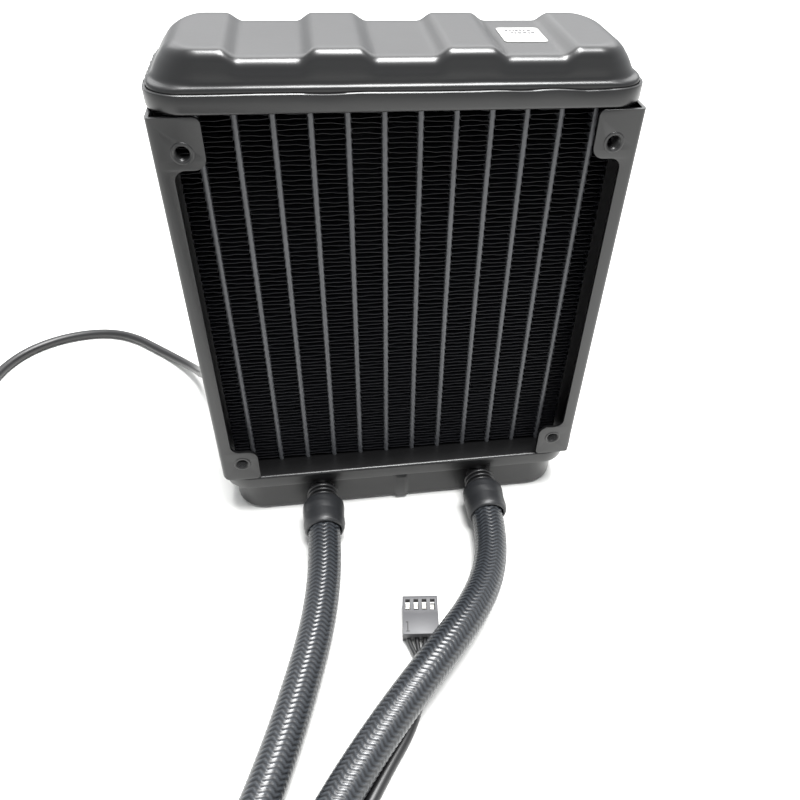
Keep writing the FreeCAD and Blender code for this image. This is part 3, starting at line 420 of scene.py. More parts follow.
def new_piece(name: str, mesh: Mesh, finish: Finish, body: str = ROOT,
              replaces: Sequence[str] = (), sharp: float = 40.0) -> bpy.types.Object:
    """Make a piece of the visual model.

    Args:
        name: the piece's name.
        mesh: its points in millimetres, and its faces.
        finish: what it is made of.
        body: the moving body that it rides on.
        replaces: the plain nodes that it stands for.
        sharp: edges that turn by more than this many degrees stay sharp.

    Returns:
        The new object.
    """
    data = bpy.data.meshes.new(name)
    data.from_pydata([Vector(point) * MM for point in mesh[0]], [], mesh[1])
    work = bmesh.new()
    work.from_mesh(data)
    bmesh.ops.remove_doubles(work, verts=work.verts, dist=0.002 * MM)
    bmesh.ops.recalc_face_normals(work, faces=work.faces)
    work.to_mesh(data)
    work.free()
    for polygon in data.polygons:
        polygon.use_smooth = True
    data.set_sharp_from_angle(angle=math.radians(sharp))
    data.materials.append(finish.material())
    piece = bpy.data.objects.new(name, data)
    bpy.context.scene.collection.objects.link(piece)
    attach(piece, body)
    if replaces:
        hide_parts(*replaces)
    LOG.info("%s: %d faces on %s", name, len(data.polygons), body)
    return piece


def bake_modifier(piece: bpy.types.Object, kind: str, settings: dict) -> None:
    """Add a modifier to a piece and make its result the piece's own mesh.

    Args:
        piece: the piece to change.
        kind: the modifier's type.
        settings: its properties by name.
    """
    modifier = piece.modifiers.new(kind.lower(), kind)
    for key, value in settings.items():
        setattr(modifier, key, value)
    result = bpy.data.meshes.new_from_object(piece.evaluated_get(bpy.context.evaluated_depsgraph_get()))
    piece.modifiers.clear()
    old, piece.data = piece.data, result
    bpy.data.meshes.remove(old)


def bevel(piece: bpy.types.Object, width_mm: float, segments: int = 2, angle: float = 40.0) -> None:
    """Round a piece's sharp edges, as a mould or a press leaves them."""
    bake_modifier(piece, "BEVEL", {"width": width_mm * MM, "segments": segments, "limit_method": "ANGLE",
                                   "angle_limit": math.radians(angle), "harden_normals": False})
    for polygon in piece.data.polygons:
        polygon.use_smooth = True
    piece.data.set_sharp_from_angle(angle=math.radians(50))


def cut_out(piece: bpy.types.Object, cutter: Mesh) -> None:
    """Cut closed shells out of a piece.

    Args:
        piece: the piece to cut.
        cutter: the shells, in millimetres.
    """
    data = bpy.data.meshes.new("cutter")
    data.from_pydata([Vector(point) * MM for point in cutter[0]], [], cutter[1])
    tool = bpy.data.objects.new("cutter", data)
    bpy.context.scene.collection.objects.link(tool)
    bpy.context.view_layer.update()
    bake_modifier(piece, "BOOLEAN", {"operation": "DIFFERENCE", "object": tool, "solver": "EXACT"})
    bpy.data.objects.remove(tool)
    bpy.data.meshes.remove(data)


# ---------------------------------------------------------------------------- tanks
@dataclass
class Tanks:
    """The two pressed tanks, the header trays whose rims are crimped round them, and the label."""

    rim_half_x: float = 60.0
    rim_half_y: float = 19.0
    rim_corner: float = 9.0
    sheet: float = 1.0
    upper_half_x: float = 58.0
    upper_half_y: float = 17.0
    upper_corner: float = 10.5
    upper_foot_corner: float = 7.0
    upper_top: float = 151.6
    shoulder_round: float = 2.6
    end_lean: float = 4.2
    lean_foot: float = 144.0
    valley_depth: float = 1.9
    ridge_period: float = 30.8
    ridge_flat: float = 9.7
    ridge_slope: float = 4.0
    lower_half_x: float = 57.2
    lower_half_y: float = 17.5
    lower_corner: float = 10.0
    lower_flange: float = 16.4
    lower_edge_round: float = 1.6
    rib_half: float = 2.0
    rib_height: float = 1.0
    rib_top: float = 12.2
    label_centre: Spot = (31.1, 1.2)
    label_size: Spot = (11.0, 11.7)

    def build(self) -> None:
        """Build every piece of the tanks."""
        self._upper()
        self._lower()
        self._rim("upper_header_plate", 138.5, 143.2, 0.16)
        self._rim("lower_header_plate", 17.5, 12.6, 0.05)
        self._label()

    def _valley(self, x: float) -> float:
        """Return 0 where x lies on a ridge of the upper tank, or past the outer ones, and 1 in a valley."""
        if abs(x) > 1.5 * self.ridge_period:
            return 0.0
        ridges = [self.ridge_period * share for share in (-1.5, -0.5, 0.5, 1.5)]
        away = min(abs(x - ridge) for ridge in ridges) - self.ridge_flat / 2
        return smoothstep(away / self.ridge_slope)

    def _shell(self, half: Spot, corner: float, levels: Sequence[Spot],
               bend: Callable[[float, float], float], foot_corner: float = 0.0) -> Mesh:
        """Press a tank: rings up its wall, then a grid over its flat.

        Args:
            half: half the body's width and depth.
            corner: the body's corner radius.
            levels: (outset, height) of each ring, from the open edge to the flat.
            bend: turns (x, height) into the pressed height.
            foot_corner: the corner radius at the open edge, where it differs from the body's.

        Returns:
            Points and faces.
        """
        side_steps = 118
        rings = []
        for outset, height in levels:
            share = max(0.0, outset / levels[0][0]) if foot_corner else 0.0
            outline = rounded_outline(*half, corner + (foot_corner - corner) * share, outset, side_steps)
            rings.append([(x, y, bend(x, height)) for x, y in outline])
        points, faces = loft(rings)
        flat = levels[-1][1]
        inner_x, inner_y = half[0] - corner, half[1] - corner
        rows = [inner_y * (2 * row / side_steps - 1) for row in range(side_steps + 1)]
        columns = [inner_x * (2 * column / side_steps - 1) for column in range(side_steps + 1)]
        start = len(points)
        points += [(x, y, bend(x, flat)) for y in rows for x in columns]
        width = side_steps + 1
        for row in range(side_steps):
            for column in range(side_steps):
                at = start + row * width + column
                faces.append((at, at + 1, at + width + 1, at + width))
        return points, faces

    def _upper(self) -> None:
        """Press the upper tank, whose top is scalloped from front to back and whose ends lean inwards."""
        top, soft = self.upper_top, self.shoulder_round
        wall = [(1.05, 139.6), (1.05, 143.5), (1.0, 143.85), (0.88, 144.1), (0.62, 144.3), (0.36, 144.5),
                (0.16, 144.85), (0.05, 145.4), (0.0, 146.2), (-0.25, 148.0), (-0.5, top - soft)]
        shoulder = arc((-0.5 - soft, top - soft), soft, 0, 90, 7)[1:]
        levels = wall + shoulder + [(-4.6, top), (-self.upper_corner, top)]

        def bend(x: float, height: float) -> float:
            """Lower the shoulder and the top in the valleys."""
            return height - self.valley_depth * self._valley(x) * smoothstep((height - 145.2) / 5.0)

        points, faces = self._shell((self.upper_half_x, self.upper_half_y), self.upper_corner, levels, bend,
                                    self.upper_foot_corner)
        pressed = []
        for x, y, z in points:
            rise = max(0.0, (z - self.lean_foot) / (top - self.lean_foot)) ** 1.4
            lean = self.end_lean * smoothstep((abs(x) - 42.0) / 16.0) * rise
            if y < 3 - self.upper_half_y:
                y += 0.05 * math.sin(0.37 * x + 1.0) * math.sin(0.11 * x) * smoothstep((z - 143.5) / 2.0)
            pressed.append((x - math.copysign(lean, x), y, z))
        new_piece("upper_tank_shell", (pressed, faces), ENAMEL,
                  replaces=["upper_tank"], sharp=60)

    def _lower(self) -> None:
        """Press the lower tank, with the upright rib over its divider."""
        soft = self.lower_edge_round
        wall = [(0.6, self.lower_flange), (0.6, 14.9), (0.1, 14.5), (0.0, 12.0), (0.0, 11.3), (0.0, 10.6),
                (0.0, 6.5)]
        levels = wall + arc((-soft, soft), soft, 0, -90, 7) + [(-self.lower_corner, 0.0)]
        points, faces = self._shell((self.lower_half_x, self.lower_half_y), self.lower_corner, levels,
                                    lambda x, height: height)
        ribbed = []
        for x, y, z in points:
            if y < -self.lower_half_y + 1.5 and z < self.rib_top:
                across = smoothstep((self.rib_half + 0.4 - abs(x)) / 0.8)
                y -= self.rib_height * across * smoothstep(z / soft) * smoothstep((self.rib_top - z) / 1.5)
            ribbed.append((x, y, z))
        new_piece("lower_tank_shell", (ribbed, faces), ENAMEL,
                  replaces=["lower_tank"], sharp=60)

    def _rim(self, node: str, plate_z: float, lip_z: float, wobble: float) -> None:
        """Fold a header tray: its plate, and its rim with the lip pressed over the tank's flange.

        Args:
            node: the plain node that it stands for.
            plate_z: height of the plate's outer face.
            lip_z: height of the rim's free edge.
            wobble: how far the hand-worked lip wanders, in millimetres.
        """
        way = 1 if lip_z > plate_z else -1
        depth = abs(lip_z - plate_z)
        section = [(-6.0, 0.0), (-0.9, 0.0), (-0.35, 0.12), (-0.08, 0.45), (0.0, 1.0), (0.0, depth - 0.5),
                   (-0.12, depth - 0.15), (-0.4, depth), (-0.75, depth - 0.08), (-0.98, depth - 0.45),
                   (-1.0, depth - 1.6), (-1.0, 1.0), (-6.0, 1.0)]
        draw = random.Random(node)
        waves = [(draw.uniform(5, 40), draw.uniform(0, math.tau), draw.uniform(0.3, 1.0)) for _ in range(7)]
        rings = []
        for outset, height in section:
            ring = []
            loose = smoothstep((height - depth + 1.4) / 1.4)
            outline = rounded_outline(self.rim_half_x, self.rim_half_y, self.rim_corner, outset, 90, 10)
            for at, (x, y) in enumerate(outline):
                turn = math.tau * at / len(outline)
                stray = sum(size * math.sin(round(pace) * turn + start) for pace, start, size in waves) / 2.4
                ring.append((x, y, plate_z + way * (height - wobble * loose * (0.6 + stray))))
            rings.append(ring)
        tray = loft(rings, closed=True)
        inner = rounded_outline(self.rim_half_x, self.rim_half_y, self.rim_corner, -6.0, 90, 10)
        low = [(x, y, plate_z) for x, y in inner]
        high = [(x, y, plate_z + way * self.sheet) for x, y in inner]
        sheet = loft([low, high], True, True)
        new_piece(f"{node}_tray", merge([tray, sheet]), ENAMEL, replaces=[node])

    def _label(self) -> None:
        """Lay the small label in its valley, with a plain printed patch and dashes."""
        centre_x, centre_y = self.label_centre
        half_x, half_y = self.label_size[0] / 2, self.label_size[1] / 2
        base = self.upper_top - self.valley_depth
        rings = []
        for outset, height in ((0.0, 0.0), (0.0, 0.12), (-0.06, 0.16)):
            outline = rounded_outline(half_x, half_y, 1.0, outset, 4, 5)
            rings.append([(centre_x + x, centre_y + y, base + height) for x, y in outline])
        new_piece("label_sheet", loft(rings, True, True), PAPER, replaces=["tank_label"])
        draw = random.Random(7)
        marks = []
        for row in range(2):
            x = centre_x - half_x + 2.0 + row * 1.2
            while x < centre_x + half_x - 2.6:
                length = draw.uniform(0.4, 1.1)
                y = centre_y + half_y - 2.4 - row * 2.2 + draw.uniform(-0.15, 0.15)
                marks.append(block((x, y - 0.5, base + 0.1), (x + length, y + 0.5, base + 0.22)))
                x += length + draw.uniform(0.25, 0.6)
        new_piece("label_marks", merge(marks), PRINT)


# ---------------------------------------------------------------------------- frames and core
@dataclass
class SideFrames:
    """The two channels of painted sheet at the radiator's sides, with their threaded tabs."""

    outer_x: float = 59.5
    half_y: float = 19.0
    sheet: float = 1.0
    bottom: float = 17.5
    top: float = 138.3
    foot_round: float = 3.0
    strip_x: float = 55.4
    tab_x: float = 47.4
    tab_length: float = 12.5
    convex: float = 3.0
    concave: float = 2.8
    hole_x: float = 52.5
    hole_heights: tuple[float, float] = (25.0, 130.0)
    hole_radius: float = 1.8

    def build(self) -> None:
        """Build both frames and the rims of their holes."""
        for side, name in ((1, "right"), (-1, "left")):
            self._channel(side, name)
        self._hole_rims()

    def _inner_edge(self) -> list[Spot]:
        """Follow the flange's free edge from the bottom to the top.

        Returns:
            (x, z) points, with the tabs' corners rounded.
        """
        tab_top = self.bottom + self.tab_length
        soft, convex, concave = self.convex / 2, self.convex, self.concave
        lower = arc((self.tab_x + soft, self.bottom + soft), soft, 270, -90, 4)
        lower += arc((self.tab_x + convex, tab_top - convex), convex, 180, -90, 6)
        lower += arc((self.strip_x - concave, tab_top + concave), concave, 270, 90, 6)
        middle = (self.strip_x, (self.bottom + self.top) / 2)
        return lower + [middle] + [(x, self.bottom + self.top - z) for x, z in lower[::-1]]

    def _channel(self, side: int, name: str) -> None:
        """Bend one channel.

        Args:
            side: 1 for the right frame, -1 for the left.
            name: the side in words.
        """
        bend_out, bend_in = 1.3, 0.35
        thick = self.sheet
        rings = []
        for edge_x, z in self._inner_edge():
            outer = [(edge_x, self.half_y)]
            outer += arc((self.outer_x - bend_out, self.half_y - bend_out), bend_out, 90, -90, 4)
            inner = [(self.outer_x - thick, self.half_y - thick - bend_in),
                     (self.outer_x - thick - bend_in, self.half_y - thick), (edge_x, self.half_y - thick)]
            half_ring = outer + [(self.outer_x, 0.0)]
            ring = [(x, -y) for x, y in half_ring] + [(x, y) for x, y in outer[::-1]]
            ring += [(x, y) for x, y in inner[::-1]] + [(x, -y) for x, y in inner]
            rings.append([(side * x, y, z) for x, y in ring])
        piece = new_piece(f"side_channel_{name}", loft(rings, True, True), ENAMEL,
                          replaces=[f"side_frame_{name}"])
        drills, through = [], 25.0
        for z in self.hole_heights:
            drill = turned([(0.0, -through), (self.hole_radius, -through), (self.hole_radius, through),
                            (0.0, through)], 28)
            drills.append(moved(drill, along(Vector((side * self.hole_x, 0, z)), Vector((0, 1, 0)))))
        low, far, radius = self.bottom - 0.5, self.outer_x + 0.5, self.foot_round
        foot = arc((self.outer_x - radius, self.bottom + radius), radius, 0, -90, 6)
        corner = [(far, self.bottom + radius), *foot, (self.outer_x - radius, low), (far, low)]
        drills.append(loft([[(side * x, y, z) for x, z in corner] for y in (-through, through)], True, True))
        cut_out(piece, merge(drills))
        bevel(piece, 0.35, 3, 50)

    def _hole_rims(self) -> None:
        """Turn the drawn rim and the threaded collar of every hole."""
        radius, mouth, collar = self.hole_radius, 2.5, 2.75
        threads = []
        for step in range(7):
            threads += [(radius, -0.2 - 0.35 * step), (radius - 0.16, -0.37 - 0.35 * step)]
        section = softened([(radius + 0.5, 0.02), (mouth + 0.25, 0.02), (mouth + 0.1, 0.16),
                            (mouth - 0.3, 0.2), (radius + 0.15, 0.02)], 0.1)
        section += threads + [(collar, -2.5), (collar, -0.5), (radius + 0.5, -0.5)]
        rims = []
        for side in (1, -1):
            for face in (1, -1):
                for z in self.hole_heights:
                    place = along(Vector((side * self.hole_x, face * self.half_y, z)), Vector((0, face, 0)))
                    rims.append(moved(turned(section, 32), place))
        new_piece("screw_hole_rims", merge(rims), ENAMEL, sharp=30)


@dataclass
class Core:
    """The flat tubes, the folded fins between them and the plates at the core's ends."""

    tube_count: int = 12
    tube_pitch: float = 9.025
    tube_width: float = 1.4
    half_depth: float = 11.25
    tube_bottom: float = 15.0
    tube_top: float = 141.0
    fin_bottom: float = 17.9
    fin_top: float = 138.2
    fin_pitch: float = 2.6
    fillet: float = 0.22
    fin_sheet: float = 0.08
    side_plate_x: float = 55.4

    def build(self) -> None:
        """Build the tubes and the fins, and paint the side plates."""
        centres = [self.tube_pitch * (index - (self.tube_count - 1) / 2) for index in range(self.tube_count)]
        for number, x in enumerate(centres, 1):
            self._tube(number, x)
        half = self.tube_width / 2
        gaps = [(left + half, right - half) for left, right in zip(centres, centres[1:])]
        gaps = [(-self.side_plate_x, centres[0] - half), *gaps, (centres[-1] + half, self.side_plate_x)]
        draw = random.Random(12)
        strips = [self._strip(left, right, draw) for left, right in gaps]
        new_piece("fin_strips", merge(strips), FIN_PAINT, replaces=["cooling_fins"],
                  sharp=50)
        for side in ("left", "right"):
            dress(f"core_side_plate_{side}", ENAMEL)

    def _tube(self, number: int, x: float) -> None:
        """Draw one flat tube, whose edges carry the small fillets of flux and paint at each fold.

        Args:
            number: its place from the left.
            x: its middle.
        """
        draw = random.Random(number)
        nose = self.tube_width / 2
        step_z = self.fin_pitch / 8
        rings = []
        for row in range(int((self.tube_top - self.tube_bottom) / step_z) + 1):
            z = self.tube_bottom + row * step_z
            lumps = []
            for shift in (0.25, 0.75):
                fold = (z - self.fin_bottom) / self.fin_pitch + shift
                lumps.append(max(0.0, math.cos(math.tau * fold)) ** 3 * self.fillet * draw.uniform(0.6, 1.1))
            front = []
            for across, forward in arc((0.0, 0.0), 1.0, 0, 180, 6):
                grow = lumps[0] * max(0.0, across) - lumps[1] * max(0.0, -across)
                front.append((x + nose * across + grow, -(self.half_depth - nose + nose * forward), z))
            back = [(px, -py, pz) for px, py, pz in front[::-1]]
            rings.append(front + back)
        new_piece(f"flat_tube_{number:02d}", loft(rings, True, True), TUBE_PAINT,
                  replaces=[f"coolant_tube_{number:02d}"], sharp=70)

    def _strip(self, left: float, right: float, draw: random.Random) -> Mesh:
        """Fold one strip of fin sheet, with the small unevenness of the real folds.

        Args:
            left: the wall on its left.
            right: the wall on its right.
            draw: the source of its unevenness.

        Returns:
            Points and faces.
        """
        line: list[Spot] = []
        half_pitch = self.fin_pitch / 2
        folds = int((self.fin_top - self.fin_bottom) / half_pitch)
        steps = 9
        for fold in range(folds):
            start, end = (left, right) if fold % 2 else (right, left)
            base = self.fin_bottom + fold * half_pitch
            sag, tilt = draw.uniform(-0.16, 0.16), draw.uniform(-0.12, 0.12)
            ripple, phase = draw.uniform(0.03, 0.09), draw.uniform(0, math.tau)
            line.append((start, base + 0.02 * half_pitch))
            line.append((start, base + 0.45 * half_pitch))
            for step in range(steps + 1):
                share = step / steps
                wave = sag * math.sin(math.pi * share) + ripple * math.sin(math.tau * 1.5 * share + phase)
                wave += tilt * (share - 0.5)
                rise = half_pitch * (0.60 + 0.16 * share)
                line.append((start + (end - start) * (0.05 + 0.9 * share), base + rise + wave))
        half = self.fin_sheet / 2
        rings = []
        for at, (x, z) in enumerate(line):
            before, after = line[max(at - 1, 0)], line[min(at + 1, len(line) - 1)]
            run = Vector((after[0] - before[0], after[1] - before[1])).normalized()
            off_x, off_z = -run.y * half, run.x * half
            deep = self.half_depth - 0.22
            x = min(max(x, left + half), right - half)
            rings.append([(x + off_x, -deep, z + off_z), (x + off_x, deep, z + off_z),
                          (x - off_x, deep, z - off_z), (x - off_x, -deep, z - off_z)])
        return loft(rings, True, True)


def dress(node: str, finish: Finish) -> None:
    """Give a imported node, whose shape is already right, its finish.

    Args:
        node: the node's name.
        finish: what it is made of.
    """
    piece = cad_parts[node]
    piece.data.materials.clear()
    piece.data.materials.append(finish.material())


def softened_node(node: str, finish: Finish, width_mm: float, body: str = ROOT) -> bpy.types.Object:
    """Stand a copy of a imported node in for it, with its edges rounded as a mould or a press leaves them.

    Args:
        node: the node's name.
        finish: what it is made of.
        width_mm: how wide the rounding is.
        body: the moving body that it rides on.

    Returns:
        The new piece.
    """
    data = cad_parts[node].data
    points = [tuple(vertex.co / MM) for vertex in data.vertices]
    mesh = points, [tuple(face.vertices) for face in data.polygons]
    piece = new_piece(f"{node}_shape", mesh, finish, body, [node], 30)
    work = bmesh.new()
    work.from_mesh(piece.data)
    bmesh.ops.dissolve_limit(work, angle_limit=math.radians(1.5), verts=work.verts, edges=work.edges)
    work.to_mesh(piece.data)
    work.free()
    bevel(piece, width_mm, 2, 35)
    return piece


# ---------------------------------------------------------------------------- hoses and leads
def spline_object(name: str, points: Sequence[Point], radius_mm: float = 0.0) -> bpy.types.Object:
    """Lay a smooth curve whose control points are a cord's route.

    Args:
        name: the curve's name.
        points: the route, in metres.
        radius_mm: the cord's radius, or 0 for a bare line.

    Returns:
        The curve object, linked to the scene.
    """
    curve = bpy.data.curves.new(name, "CURVE")
    curve.dimensions = "3D"
    curve.resolution_u = 12
    curve.bevel_depth = radius_mm * MM
    curve.bevel_resolution = 6
    curve.use_fill_caps = True
    spline = curve.splines.new("NURBS")
    spline.points.add(len(points) - 1)
    for spot, point in zip(spline.points, points):
        spot.co = (*point, 1.0)
    spline.order_u = 3
    spline.use_endpoint_u = True
    piece = bpy.data.objects.new(name, curve)
    bpy.context.scene.collection.objects.link(piece)
    return piece


def line_along(points: Sequence[Point], step_mm: float) -> list[Vector]:
    """Read evenly spaced points off the smooth curve of a route.

    Args:
        points: the route, in metres.
        step_mm: the spacing.

    Returns:
        Points in metres, from the route's start to its end.
    """
    guide = spline_object("guide", points)
    bpy.context.view_layer.update()
    data = bpy.data.meshes.new_from_object(guide)
    spots = np.array([vertex.co for vertex in data.vertices])
    curve = guide.data
    bpy.data.objects.remove(guide)
    bpy.data.curves.remove(curve)
    bpy.data.meshes.remove(data)
    runs = np.linalg.norm(np.diff(spots, axis=0), axis=1)
    far = np.concatenate(([0.0], np.cumsum(runs)))
    count = max(2, round(far[-1] / (step_mm * MM)) + 1)
    wanted = np.linspace(0.0, far[-1], count)
    even = np.stack([np.interp(wanted, far, spots[:, axis]) for axis in range(3)], axis=1)
    return [Vector(spot) for spot in even]


def line_length(line: Sequence[Vector]) -> float:
    """Add up a line's length."""
    return sum((after - before).length for before, after in zip(line, line[1:]))


def carried_axes(line: Sequence[Vector]) -> list[tuple[Vector, Vector]]:
    """Carry a pair of cross axes along a line without twist.

    Args:
        line: the line's points.

    Returns:
        For each point, two unit vectors across the line.
    """
    axes = []
    side = (line[1] - line[0]).cross(Vector((0, 0, 1))).normalized()
    for at in range(len(line)):
        run = (line[min(at + 1, len(line) - 1)] - line[max(at - 1, 0)]).normalized()
        side = (side - run * side.dot(run)).normalized()
        axes.append((side, run.cross(side)))
    return axes


@dataclass
class BraidedHose:
    """A rubber hose under a woven sleeve, whose yarns stand up as plaited pillows in chevron columns."""

    name: str
    route: Sequence[Point]
    diameter: float = 0.0106
    radius: float = 5.15
    columns: int = 16
    per_column: int = 6
    yarn_pitch: float = 1.42
    yarn_lift: float = 0.2
    lean: float = 0.8
    ring_step: float = 0.355

    def build(self) -> None:
        line = line_along(self.route, self.ring_step)
        axes = carried_axes(line)
        around = self.columns * self.per_column
        spot = np.arange(around)
        across = (spot % self.per_column + 0.5) / self.per_column - 0.5
        lean = np.where(spot // self.per_column % 2 == 0, 1.0, -1.0) * self.lean
        turn = math.tau * (spot + 0.5) / around
        far = np.linspace(0, line_length(line) / MM, len(line))[:, None]
        phase = far / self.yarn_pitch + lean[None, :] * across[None, :]
        lift = (0.5 + 0.5 * np.cos(math.tau * phase)) ** 0.8 * (1 - 1.5 * across[None, :] ** 2)
        reach = (self.radius + self.yarn_lift * (lift - 0.35)) * MM
        centre = np.array([tuple(point) for point in line])[:, None, :]
        first = np.array([tuple(pair[0]) for pair in axes])[:, None, :]
        second = np.array([tuple(pair[1]) for pair in axes])[:, None, :]
        outwards = np.cos(turn)[None, :, None] * first + np.sin(turn)[None, :, None] * second
        spots = centre + reach[:, :, None] * outwards
        data = bpy.data.meshes.new(self.name)
        rows, count = len(line), around
        base = (np.arange(rows - 1)[:, None] * count + np.arange(count)[None, :])
        after = (np.arange(rows - 1)[:, None] * count + (np.arange(count)[None, :] + 1) % count)
        faces = np.stack([base, after, after + count, base + count], axis=2).reshape(-1, 4).tolist()
        faces += [list(range(count))[::-1], list(range((rows - 1) * count, rows * count))]
        data.from_pydata(spots.reshape(-1, 3).tolist(), [], faces)
        # The yarns' lift also sets the sleeve's painted shade between the yarns and its painted highlight on
        # their tops.
        heights = data.attributes.new("yarn_lift", "FLOAT", "POINT").data
        heights.foreach_set("value", lift.reshape(-1).astype(np.float32))
        data.materials.append(BRAID.material())
        for polygon in data.polygons:
            polygon.use_smooth = True
        piece = bpy.data.objects.new(f"{self.name}_sleeve", data)
        bpy.context.scene.collection.objects.link(piece)
        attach(piece, ROOT)
        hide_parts(self.name)
        LOG.info("%s: %.0f mm long, %d faces", self.name, line_length(line) / MM, len(faces))


@dataclass(frozen=True)
class PumpPlace:
    """Where the pump head lies: its axis on the table, and its turn."""

    x: float = -108.0
    y: float = -266.0
    turn: float = -23.0

    def matrix(self) -> Matrix:
        """The matrix from the pump's own millimetres to the frame's."""
        return Matrix.Translation((self.x, self.y, 0)) @ Matrix.Rotation(math.radians(self.turn), 4, "Z")

    def point(self, x: float, y: float, z: float) -> Vector:
        """A point of the pump's own frame, in the model's millimetres."""
        return self.matrix() @ Vector((x, y, z))


PUMP = PumpPlace()

# The left hose's way from its collar to the pump, in metres.
HOSE_LEFT_WAY = [(-0.0278, -0.0410, 0.0069), (-0.0288, -0.0550, 0.0057), (-0.0318, -0.0710, 0.0054),
                 (-0.0366, -0.0870, 0.00535), (-0.0424, -0.1040, 0.0054), (-0.0498, -0.1220, 0.00535),
                 (-0.0594, -0.1406, 0.0054), (-0.0702, -0.1590, 0.00535), (-0.0802, -0.1768, 0.0056),
                 (-0.0890, -0.1930, 0.0076)]
# The right hose's way, with a long low hump over the pump's lead.
HOSE_RIGHT_WAY = [(0.0274, -0.0386, 0.0070), (0.0258, -0.0500, 0.0066), (0.0220, -0.0607, 0.0074),
                  (0.0158, -0.0708, 0.0090), (0.0079, -0.0802, 0.0102), (-0.0020, -0.0902, 0.0102),
                  (-0.0118, -0.1000, 0.0088), (-0.0214, -0.1102, 0.0068), (-0.0298, -0.1204, 0.0055),
                  (-0.0398, -0.1348, 0.00535), (-0.0492, -0.1510, 0.0054), (-0.0574, -0.1682, 0.00535),
                  (-0.0642, -0.1848, 0.0059), (-0.0696, -0.2010, 0.0078)]
PUMP_LEAD_WAY = [(-0.0640, -0.2696, 0.0228), (-0.0536, -0.2670, 0.0184), (-0.0450, -0.2606, 0.0124),
                 (-0.0392, -0.2510, 0.0070), (-0.0364, -0.2390, 0.0034), (-0.0364, -0.2250, 0.0019),
                 (-0.0380, -0.2100, 0.00185), (-0.0390, -0.1950, 0.0019), (-0.0388, -0.1796, 0.00185),
                 (-0.0368, -0.1640, 0.0019), (-0.0342, -0.1490, 0.00185), (-0.0298, -0.1354, 0.0019),
                 (-0.0230, -0.1226, 0.00185), (-0.0152, -0.1114, 0.0019), (-0.0076, -0.1016, 0.00185),
                 (-0.0036, -0.0916, 0.0019)]
FAN_LEAD_WAY = [(-0.0554, 0.0310, 0.0328), (-0.0634, 0.0316, 0.0268), (-0.0686, 0.0356, 0.0200),
                (-0.0718, 0.0432, 0.0130), (-0.0752, 0.0528, 0.0072), (-0.0810, 0.0620, 0.0036),
                (-0.0892, 0.0712, 0.0019), (-0.0966, 0.0778, 0.00185), (-0.1042, 0.0846, 0.0019),
                (-0.1146, 0.0900, 0.00185), (-0.1270, 0.0906, 0.0019), (-0.1398, 0.0870, 0.00185),
                (-0.1506, 0.0790, 0.0019), (-0.1574, 0.0670, 0.00185), (-0.1594, 0.0530, 0.0019),
                (-0.1574, 0.0396, 0.00185), (-0.1534, 0.0294, 0.0019), (-0.1494, 0.0214, 0.00185),
                (-0.1480, 0.0130, 0.00185)]
FAN_LEAD_TAIL = [(-0.1480, 0.0040, 0.0055), (-0.1484, -0.0060, 0.0044), (-0.1494, -0.0140, 0.0031)]


